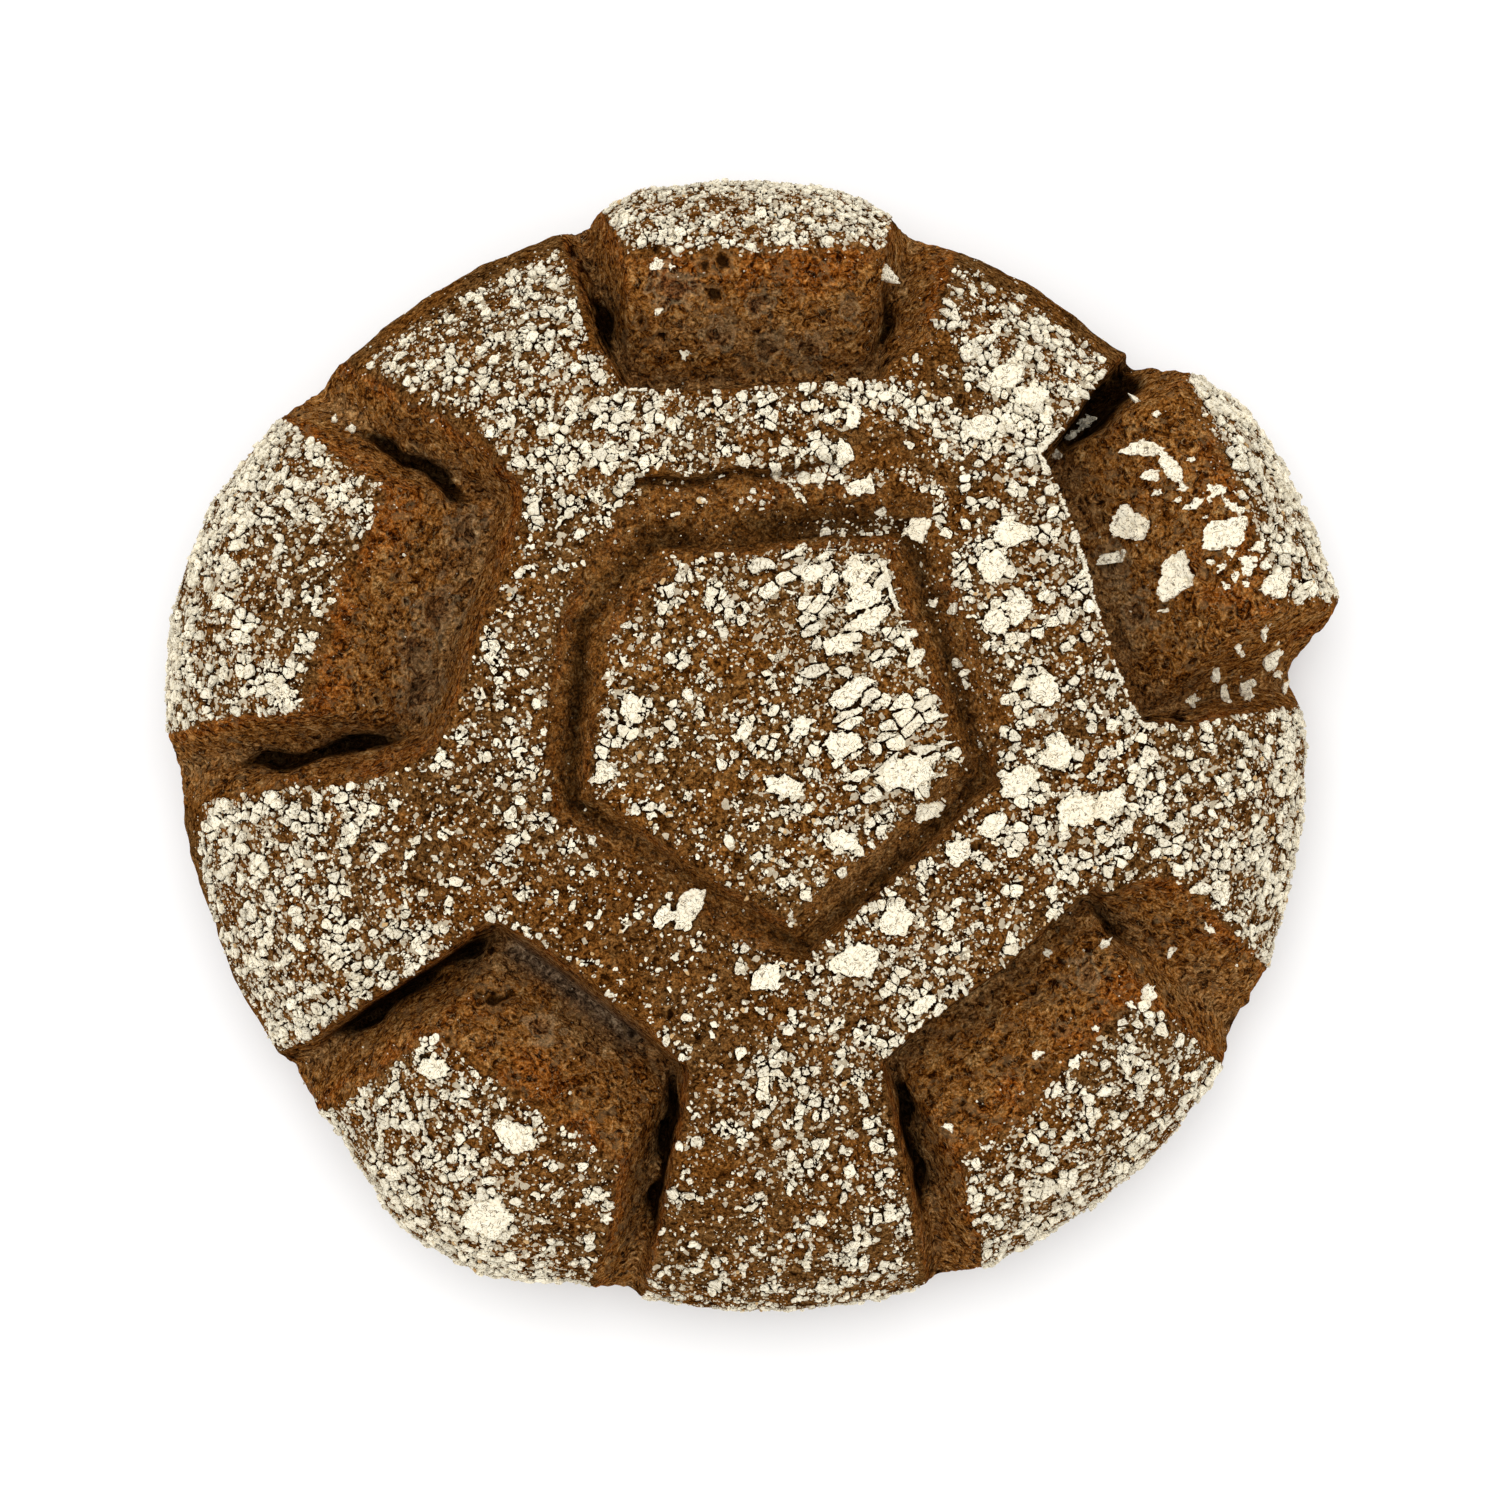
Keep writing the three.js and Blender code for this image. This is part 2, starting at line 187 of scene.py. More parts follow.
def crust_form(px, py):
    """Height of the stamped crust; its place on the nearest cut slope of a block
    and of the island (0 at a groove's bottom, 1 at its edge, more on the uncut
    top); and how near it is to the sharp edge of the band, 0 to 1."""
    z = (dome_height(px, py)
         + 0.5 * np.sin(px * 0.085 + 0.4) * np.sin(py * 0.075 + 1.1)
         + 0.35 * np.sin(px * 0.17 + py * 0.06) * np.sin(py * 0.19 - px * 0.05 + 0.5))
    wave = (0.45 * np.sin(px * 0.23 + 1.3 * np.sin(py * 0.11) + 0.7)
            + 0.4 * np.sin(py * 0.27 + 1.1 * np.sin(px * 0.13) + 2.1))
    x = px + 0.5 * np.sin(py * 0.12 + 0.6) + 0.5 * wave
    y = py + 0.5 * np.sin(px * 0.11 + 2.0) - 0.5 * wave

    cuts = []
    for block in BLOCKS:
        p = block["line"]
        centre = (0.675 * (p[1][0] + p[2][0]), 0.675 * (p[1][1] + p[2][1]))
        sides = []
        for i in range(3):
            t, qx, qy, away, side, length = along_line(x, y, p[i], p[i + 1])
            sides.append((t, qx, qy, away, side * side_sign(centre, p[i], p[i + 1]), length))
        inside = np.minimum.reduce([s[4] for s in sides])
        z = z + block["lift"] * ease((inside + 0.5) / 6.0)
        cuts.append((block, sides, inside))
    ring = ISLAND["corner"]
    count = len(ring)
    isle = []
    for i in range(count):
        a, b = ring[i], ring[(i + 1) % count]
        t, qx, qy, away, side, length = along_line(x, y, a, b)
        isle.append((t, qx, qy, away, side * side_sign(ISLAND["middle"], a, b), length))
    in_isle = np.minimum.reduce([s[4] for s in isle])
    z = z - ISLAND["drop"] * ease((in_isle + 2.0) / 5.0)

    h = z
    torn = np.full(np.shape(px), 9.0)
    fringe = np.zeros(np.shape(px))
    for block, sides, inside in cuts:
        cut = np.full(np.shape(px), 1e3)
        far_all = block["far"]
        for i, (t, qx, qy, away, side, length) in enumerate(sides):
            bottom = dome_height(qx, qy) - lerp(block["depth"][i], block["depth"][i + 1], t)
            far = np.full(np.shape(px), float(far_all[i]))
            if i > 0:
                far = lerp(far, np.minimum(far, far_all[i - 1]), ease(1 - t * length / CORNER_BLEND))
            if i < 2:
                far = lerp(far, np.minimum(far, far_all[i + 1]), ease(1 - (1 - t) * length / CORNER_BLEND))
            share = np.where(inside > 0, np.maximum(side, 0) / block["face"][i], away / far)
            torn = np.minimum(torn, share)
            lace = block["fringe"][i] * np.exp(-(np.maximum(away - far, 0) / 1.3) ** 2)
            fringe = np.maximum(fringe, np.where(inside > 0, 0.0, lace))
            cut = np.minimum(cut, z - np.maximum(z - bottom, 0.5) * (1 - share))
        h = soft_min(h, cut, block["soft"])
    cut = np.full(np.shape(px), 1e3)
    outer = ISLAND["outer"]
    groove = np.full(np.shape(px), 9.0)
    rim_at = [np.where(side == in_isle, side - lerp(*ISLAND["inner"][i], t), 99.0) for i, (t, qx, qy, away, side, length) in enumerate(isle)]
    for i, band in enumerate(rim_at):
        fringe = np.maximum(fringe, ISLAND["fringe"][i] * np.exp(-((band - 0.7) / 0.8) ** 2))
    for i, (t, qx, qy, away, side, length) in enumerate(isle):
        bottom = dome_height(qx, qy) - lerp(ISLAND["depth"][i], ISLAND["depth"][(i + 1) % count], t)
        far = np.full(np.shape(px), float(outer[i]))
        far = lerp(far, np.minimum(far, outer[i - 1]), ease(1 - t * length / CORNER_BLEND))
        far = lerp(far, np.minimum(far, outer[(i + 1) % count]), ease(1 - (1 - t) * length / CORNER_BLEND))
        share = np.where(in_isle > 0, np.maximum(side, 0) / lerp(*ISLAND["inner"][i], t), away / far)
        groove = np.minimum(groove, share)
        cut = np.minimum(cut, z - np.maximum(z - bottom, 0.5) * (1 - share))
    h = soft_min(h, cut, ISLAND["soft"])
    t, qx, qy, away, side, length = along_line(x, y, LEDGE["start"], LEDGE["end"])
    ends = ease(t / 0.15) * ease((1 - t) / 0.15)
    rise = np.where(side < 0, LEDGE["rise"], LEDGE["depth"] / LEDGE["wall"])
    h = soft_min(h, z - LEDGE["depth"] * ends + away * rise, LEDGE["soft"])
    groove = np.where((side < 0) & (away < 12.0), np.minimum(groove, lerp(9.0, 0.62, ends)), groove)
    depth, slit_shade = slit_depth(px, py, ease((0.85 - np.minimum(torn, groove)) / 0.4))
    in_block = np.maximum.reduce([inside for block, sides, inside in cuts])
    return h - depth, torn, groove, fringe, in_isle, slit_shade, in_block


# The crust is unrolled on to a flat disc, so that lengths down the side are
# kept: a place is (u, v), its distance from the middle is the way over the dome.
_rho = np.linspace(0.0, 1.0, 4001)
_prof = RIM_HEIGHT + (LOAF_HEIGHT - RIM_HEIGHT) * np.sqrt(1.0 - _rho ** DOME_POWER)
_way = np.concatenate([[0.0], np.cumsum(np.hypot(np.diff(_rho) * MEAN_RADIUS, np.diff(_prof)))])
WAY_RIM = float(_way[-1])
WAY_SIDE = 27.4
WAY_ALL = WAY_RIM + WAY_SIDE

_turns = np.linspace(-math.pi, math.pi, 7201)
_rim = rim_radius(_turns)
SHIFT_X = -0.5 * float((_rim * np.cos(_turns)).max() + (_rim * np.cos(_turns)).min())
SHIFT_Y = -0.5 * float((_rim * np.sin(_turns)).max() + (_rim * np.sin(_turns)).min())


def place(u, v):
    """Point of the crust for a place on the unrolled disc, and its masks."""
    way = np.hypot(u, v)
    turn = np.arctan2(v, u)
    share = np.interp(np.minimum(way, WAY_RIM), _way, _rho)
    rim = rim_radius(turn)
    r = share * lerp(MEAN_RADIUS, rim, ease((share - 0.45) / 0.5))
    z, *masks = crust_form(r * np.cos(turn), r * np.sin(turn))
    down = np.clip((way - WAY_RIM) / WAY_SIDE, 0.0, 1.0) * (math.pi / 2)
    even = even_radius(turn)
    foot = BASE_SHARE * even + 0.25 * (rim - even)
    under = way > WAY_RIM
    r = np.where(under, foot + (rim - foot) * np.cos(down), r)
    z = np.where(under, z * (1.0 - np.sin(down)), z)
    return np.stack([r * np.cos(turn), r * np.sin(turn), z], axis=-1), masks


def unroll(x, y):
    """Place on the unrolled disc of a point given in plan."""
    r = np.hypot(x, y)
    turn = np.arctan2(y, x)
    rim = rim_radius(turn)
    share = r / rim
    for _ in range(8):
        share = np.minimum(r / lerp(MEAN_RADIUS, rim, ease((share - 0.45) / 0.5)), 1.0)
    way = np.interp(share, _rho, _way)
    return way * np.cos(turn), way * np.sin(turn)


# ---------------------------------------------------------------------------
# Noise
# ---------------------------------------------------------------------------
_rng = np.random.default_rng(7)
_perm = np.concatenate([_rng.permutation(1024)] * 3)
_ang = _rng.uniform(0, 2 * math.pi, 1024)
_g2 = np.stack([np.cos(_ang), np.sin(_ang)], axis=1)
_g3 = _rng.normal(size=(1024, 3))
_g3 /= np.linalg.norm(_g3, axis=1, keepdims=True)
_u4 = _rng.uniform(0, 1, (1024, 4))
_t4 = _rng.uniform(0, 1, (1024, 4))


def _fade(t):
    return t * t * t * (t * (t * 6 - 15) + 10)


def noise2(x, y, seed=0):
    xi, yi = np.floor(x).astype(np.int64), np.floor(y).astype(np.int64)
    xf, yf = x - xi, y - yi
    u, v = _fade(xf), _fade(yf)
    total = 0.0
    for dx in (0, 1):
        for dy in (0, 1):
            k = _perm[_perm[(xi + dx + seed * 131) & 1023] + ((yi + dy + seed * 57) & 1023)]
            g = _g2[k]
            w = (u if dx else 1 - u) * (v if dy else 1 - v)
            total = total + w * (g[..., 0] * (xf - dx) + g[..., 1] * (yf - dy))
    return 1.5 * total


def noise3(p, seed=0):
    i = np.floor(p).astype(np.int64)
    f = p - i
    w = _fade(f)
    total = 0.0
    for dx in (0, 1):
        for dy in (0, 1):
            for dz in (0, 1):
                k = _perm[_perm[_perm[(i[:, 0] + dx + seed * 131) & 1023] + ((i[:, 1] + dy + seed * 57) & 1023)]
                          + ((i[:, 2] + dz + seed * 17) & 1023)]
                g = _g3[k]
                part = ((w[:, 0] if dx else 1 - w[:, 0]) * (w[:, 1] if dy else 1 - w[:, 1])
                        * (w[:, 2] if dz else 1 - w[:, 2]))
                total = total + part * (g[:, 0] * (f[:, 0] - dx) + g[:, 1] * (f[:, 1] - dy) + g[:, 2] * (f[:, 2] - dz))
    return 1.5 * total


def cells2(x, y, seed=0):
    """Distances to the nearest two of scattered points, and the nearest one's number and place."""
    xi, yi = np.floor(x).astype(np.int64), np.floor(y).astype(np.int64)
    d1 = np.full(np.shape(x), 9.0)
    d2 = np.full(np.shape(x), 9.0)
    who = np.zeros(np.shape(x), np.int64)
    sx, sy = np.zeros(np.shape(x)), np.zeros(np.shape(x))
    for dx in (-1, 0, 1):
        for dy in (-1, 0, 1):
            cx, cy = xi + dx, yi + dy
            k = _perm[_perm[(cx + seed * 131) & 1023] + ((cy + seed * 57) & 1023)]
            ax, ay = cx + _u4[k, 0], cy + _u4[k, 1]
            d = np.hypot(ax - x, ay - y)
            closer = d < d1
            d2 = np.where(closer, d1, np.minimum(d2, d))
            who = np.where(closer, k, who)
            sx, sy = np.where(closer, ax, sx), np.where(closer, ay, sy)
            d1 = np.where(closer, d, d1)
    return d1, d2, who, sx, sy


def pits3(p, seed=0, keep=0.35, small=0.2, large=0.55):
    """0 outside, up to 1 in the middle of scattered round pits."""
    i = np.floor(p).astype(np.int64)
    best = np.zeros(len(p))
    for dx in (-1, 0, 1):
        for dy in (-1, 0, 1):
            for dz in (-1, 0, 1):
                c = i + np.array([dx, dy, dz])
                k = _perm[_perm[_perm[(c[:, 0] + seed * 131) & 1023] + ((c[:, 1] + seed * 57) & 1023)]
                          + ((c[:, 2] + seed * 17) & 1023)]
                d = np.linalg.norm(c + _u4[k, :3] - p, axis=1)
                size = np.where(_u4[k, 3] < keep, lerp(small, large, (_u4[k, 3] / keep) ** 2), 1e-6)
                best = np.maximum(best, np.clip(1 - d / size, 0, 1))
    return best


# ---------------------------------------------------------------------------
# Where the flour lies
# ---------------------------------------------------------------------------
# How thick the flour lies on each part of the loaf: x, y in plan, how far that
# reaches (mm), share of the crust that it hides.
COVER = (
    # island: thin at the lower left, thick at the upper right and the right corner
    (20, 23, 9, .65), (27, -3, 6, .70), (0, 27, 8, .50), (12, 8, 8, .45), (-16, 5, 9, .36), (-11, -11, 9, .25),
    (3, -21, 8, .35), (13, -11, 8, .50), (-8, 18, 7, .35),
    # band round it, from the upper left to the right
    (-23, 52, 8, .65), (0, 52, 8, .50), (24, 49, 5, .12), (16, 57.5, 3.5, .62), (24, 54.5, 3.5, .80),
    (31.5, 51.5, 3.5, .80), (34, 57, 3, .08), (43, 53, 5, .84), (46, 43, 5, .62), (36, 40, 4, .20), (43, 20, 9, .50), (50, -5, 9, .50),
    (38, -20, 7, .45), (18, -36, 7, .50), (-1, -40, 8, .25), (-21, -29, 9, .20), (-38, -14, 8, .35), (-37, 10, 9, .35),
    (-31, 33, 8, .35), (-34, 47, 7, .55),
    # spokes between the blocks
    (-43, 63, 11, .50), (-54, 71, 7, .50), (-34, 73, 7, .60),
    (45, 62, 9, .62), (29, 62, 6, .15), (33, 76, 6, .40),
    (67, -8, 12, .50), (86, -10, 12, .60),
    (9, -60, 9, .40), (11, -80, 12, .35), (-8, -70, 8, .20),
    (-66, -25, 12, .55), (-82, -21, 9, .65), (-50, -16, 8, .25),
    # tops of the blocks
    (-72, 44, 9, .68), (-71, 26, 9, .36), (-86, 19, 10, .65), (-81, 8, 8, .60),
    (-14, 88, 10, .56), (14, 89, 10, .62),
    (79, 55, 10, .80), (86, 41, 9, .78), (89, 28, 9, .74),
    (-49, -56, 9, .45), (-46, -76, 9, .70), (-28, -74, 8, .30), (-60, -63, 8, .55),
    (44, -70, 10, .55), (64, -55, 10, .45), (52, -80, 8, .55),
)

# Larger plates of flour: x, y in plan, length and width in millimetres, turn in degrees.
PLATES = (
    (3, -36.5, 5.2, 4.4, 10), (17.5, -33.5, 8.0, 6.0, 20), (23.5, -27.0, 5.8, 4.8, 35), (-9.5, -25.5, 5.0, 3.6, 60),
    (-13.3, -26.5, 4.0, 3.2, 20), (25.5, -3.3, 8.8, 6.0, 12), (49.5, -0.8, 6.6, 5.0, 25), (43.5, -5.0, 7.4, 4.2, 35),
    (52.5, -9.8, 6.6, 5.2, 60), (57.5, -9.0, 6.0, 4.6, 20), (33.8, -16.2, 5.0, 4.0, 30), (38.8, -12.2, 5.4, 4.2, 40),
    (64.6, 48.6, 4.8, 3.2, -10), (68.8, 45.4, 6.8, 3.0, -62), (65.6, 44.4, 2.8, 2.3, 80), (62.6, 37.0, 6.2, 4.2, -58),
    (69.5, 28.2, 7.6, 4.8, 78), (76.6, 34.8, 8.4, 6.0, 30), (84.5, 26.5, 5.4, 4.2, 40),
    (75.4, 41.9, 3.4, 2.0, -15), (77.6, 39.6, 2.8, 1.6, -30), (72.2, 39.6, 2.4, 1.6, 60), (70.4, 42.2, 1.8, 1.2, 10),
    (60.2, 31.6, 3.0, 2.2, 10), (80.5, 29.0, 3.0, 2.0, 60), (82.0, 32.5, 2.4, 1.6, 20), (78.6, 28.0, 2.0, 1.4, 80),
    (82.6, 9.2, 3.6, 2.6, 10), (86.6, 15.4, 2.6, 2.2, 60), (73.5, 8.0, 2.8, 2.0, 0), (55.8, 53.6, 2.8, 1.5, 30), (53.8, 52.2, 2.0, 1.2, 0),
    (57.6, 54.8, 1.9, 1.2, 50), (51.4, 48.6, 2.3, 1.4, 20), (63.6, 57.0, 1.6, 1.2, 70), (66.4, 54.2, 1.4, 1.0, 10),
    (71.5, 46.8, 1.3, 1.0, 10), (74.4, 40.4, 1.5, 1.1, 70), (79.2, 38.2, 2.0, 1.3, 35), (73.6, 37.4, 1.5, 1.1, 0), (71.0, 39.0, 1.4, 1.1, 30),
    (69.4, 40.4, 1.3, 1.0, 0), (79.6, 30.6, 2.1, 1.5, 15), (78.0, 31.6, 1.6, 1.2, 60), (80.2, 26.6, 1.8, 1.3, -30),
    (81.4, 30.6, 1.5, 1.2, 0), (76.6, 29.4, 1.4, 1.1, 45), (83.2, 29.6, 1.9, 1.4, 20), (77.0, 26.2, 1.5, 1.1, 10),
    (74.6, 30.2, 1.3, 1.0, 0), (66.6, 41.6, 1.3, 1.0, 20), (68.0, 22.6, 1.3, 1.0, 0), (83.6, 19.4, 1.6, 1.2, -20),
    (80.0, 16.4, 1.4, 1.0, 0), (76.8, 12.2, 1.7, 1.3, 15), (79.0, 8.4, 2.2, 1.5, -10), (88.4, 12.6, 1.7, 1.3, 0), (90.0, 10.0, 2.0, 1.5, 30),
    (-14.7, 78.0, 2.6, 2.1, 30), (22.4, 77.6, 3.4, 1.3, 80), (-14.6, 70.8, 1.4, 1.1, 0), (-10.4, 64.6, 1.9, 1.5, 40), (-12.0, 77.8, 1.3, 1.0, 0),
    (-42.0, -75.5, 9.6, 6.0, -15), (-37.0, -61.5, 6.8, 4.4, -30), (-50.0, -51.0, 5.4, 3.8, -20),
    (41.5, 60.0, 6.4, 4.6, 10), (45.5, 57.0, 7.0, 3.8, 5), (37.5, 51.5, 5.6, 4.8, 70),
    (39.0, 29.0, 5.4, 4.4, 40), (43.0, 22.5, 5.2, 4.0, 60), (39.5, 20.0, 4.8, 3.8, 20), (47.5, 9.5, 5.6, 4.2, 70),
    (17.8, 42.0, 4.4, 3.0, 20), (16.7, 53.4, 5.2, 2.2, 88), (15.5, 47.1, 4.2, 3.0, 80),
    (27.4, 35.4, 4.4, 3.0, 20), (41.8, 34.5, 6.0, 5.0, 10),
    (-18.5, 7.0, 5.0, 3.4, 70), (-23.0, -4.0, 3.4, 2.6, 30), (10.5, 28.0, 4.4, 3.2, 25), (18.6, 23.6, 7.4, 3.0, 27),
    (19.0, 20.5, 7.0, 3.0, 29), (14.5, 16.5, 6.4, 3.2, 26), (16.5, 9.0, 8.6, 3.4, 30), (15.0, 0.5, 6.0, 4.4, 10),
    (17.6, 27.6, 6.2, 3.4, 24), (8.5, 3.5, 3.4, 2.6, 50), (6.0, -6.0, 6.0, 3.2, -5), (-0.5, 3.0, 3.2, 2.4, 60),
    (28.5, -9.5, 6.0, 2.6, 25), (15.0, -14.5, 5.2, 3.0, -30),
    (64.3, -39.6, 3.2, 1.8, -60), (61.4, -41.0, 1.8, 1.5, 0), (49.4, -33.4, 1.7, 1.3, 30), (57.8, -31.6, 2.2, 1.3, 10),
    (69.4, -33.0, 1.8, 1.3, 0), (46.8, -49.1, 1.7, 1.3, 0), (52.4, -50.1, 2.2, 1.5, 40), (56.0, -45.0, 1.5, 1.2, 0),
    (28.0, -40.8, 5.0, 2.4, 38), (32.7, -61.0, 1.7, 1.3, 0), (75.3, -29.1, 2.4, 1.0, -15),
    (-65.6, 52.6, 2.2, 1.2, -20), (-68.4, 54.6, 1.6, 1.1, 0),
)

# Lines of crumbs in the island's groove: points in plan, share.
CRUMB_LINES = (
    (((5, 43.4), (11.5, 43.8), (17, 42.4), (22, 44), (26.5, 44.4), (30.3, 41), (31, 36.5)), .62),
    (((-14, 39), (0, 39.6), (8, 40.4)), .22),
    (((13, 35.8), (17.5, 35.2), (21.4, 36.4), (27, 35.4)), .40),
)


def cover_at(u, v):
    pu, pv = unroll(np.array([c[0] for c in COVER], float), np.array([c[1] for c in COVER], float))
    weight = np.full(u.shape, 1e-5)
    total = np.full(u.shape, 0.40e-5)
    for a, b, (x, y, reach, share) in zip(pu, pv, COVER):
        w = np.exp(-((u - a) ** 2 + (v - b) ** 2) / (2 * (0.6 * reach) ** 2))
        weight += w
        total += w * share
    return total / weight


# ---------------------------------------------------------------------------
# Relief of the crust, worked out once on a fine grid of the unrolled disc
# ---------------------------------------------------------------------------
GRID = 0.32

# Larger pores of the torn faces: x, y in plan, radius, depth; the shallow ones
# are bubbles that show grey strands of crumb.
PORES = (
    (16.9, 77.8, 1.9, 2.2), (-4.2, 78.6, 1.6, 1.9), (-7.0, 77.8, 1.2, 1.5), (-5.5, 73.2, 1.5, 1.8), (-11.9, 74.5, 2.4, 0.6),
    (-4.8, 67.6, 2.4, 0.6), (10.2, 65.2, 2.2, 0.6), (3.7, 65.5, 1.9, 0.5), (16.5, 71.2, 1.6, 0.7), (-13.8, 66.8, 1.1, 1.5),
    (1.5, 72.0, 1.8, 0.5), (6.2, 77.2, 0.8, 1.0), (12.4, 75.8, 0.8, 1.0), (-17.5, 69.0, 1.2, 1.2),
    (-45.5, 35.8, 2.6, 0.5), (-50.4, 22.9, 3.0, 0.6), (-52.9, 9.8, 3.2, 0.7), (-53.8, 16.0, 2.6, 0.5), (-56.0, 28.0, 0.9, 0.9),
    (-62.5, 21.0, 0.8, 1.0), (-60.0, 8.5, 0.9, 0.9), (-64.0, 33.0, 0.8, 0.9), (-47.0, 20.0, 1.3, 1.3),
    (-40.6, -39.8, 1.7, 2.2), (-43.2, -38.6, 1.0, 1.4), (-38.1, -39.1, 1.1, 1.4), (-18.9, -46.3, 1.1, 1.6), (-29.1, -48.9, 0.9, 1.2),
    (-33.5, -45.0, 2.0, 0.5), (-25.0, -55.0, 1.0, 1.0), (-37.0, -52.0, 0.8, 1.0), (-21.5, -62.5, 1.0, 1.2), (-48.0, -46.0, 1.0, 1.1),
    (33.0, -46.5, 1.0, 1.2), (39.5, -43.0, 0.9, 1.2), (46.0, -38.5, 1.1, 1.3), (50.5, -45.0, 0.9, 1.0), (41.0, -51.5, 1.0, 1.2),
    (34.5, -57.0, 0.9, 1.1), (55.0, -36.0, 1.9, 0.5), (48.0, -50.5, 0.8, 1.0), (61.0, -43.0, 1.0, 1.2), (30.0, -63.0, 0.8, 1.1),
    (57.5, 40.0, 1.1, 1.2), (60.0, 30.5, 2.6, 0.6), (63.5, 22.5, 2.2, 0.6), (68.5, 17.0, 1.1, 1.2), (58.5, 52.0, 1.1, 1.3),
    (74.0, 52.0, 0.8, 1.0), (77.5, 22.0, 0.8, 0.9), (70.0, 36.0, 0.8, 0.9),
)


# A stretched wall of pale crumb: two points in plan.
PALE_WALL = ((-37.4, -32.6), (-18.8, -46.6))


def table_pores(p):
    """Depth of the larger pores, and their inner share: dark, and grey."""
    depth = np.zeros(len(p))
    dark = np.zeros(len(p))
    grey = np.zeros(len(p))
    for x, y, radius, deep in PORES:
        near = (np.abs(p[:, 0] - x) < 2 * radius) & (np.abs(p[:, 1] - y) < 2 * radius)
        if not near.any():
            continue
        q = p[near]
        middle = q[np.argmin(np.hypot(q[:, 0] - x, q[:, 1] - y))]
        d = np.linalg.norm(q - middle, axis=1) * (1 + (1.0 if deep < 0.8 else 0.6) * noise3(q / 1.3, 12)) / (0.9 * radius)
        depth[near] = np.maximum(depth[near], deep * ease(1.25 - d))
        into = grey if deep < 0.8 else dark
        into[near] = np.maximum(into[near], np.clip(1.35 - d, 0, 1))
    return depth, dark, grey


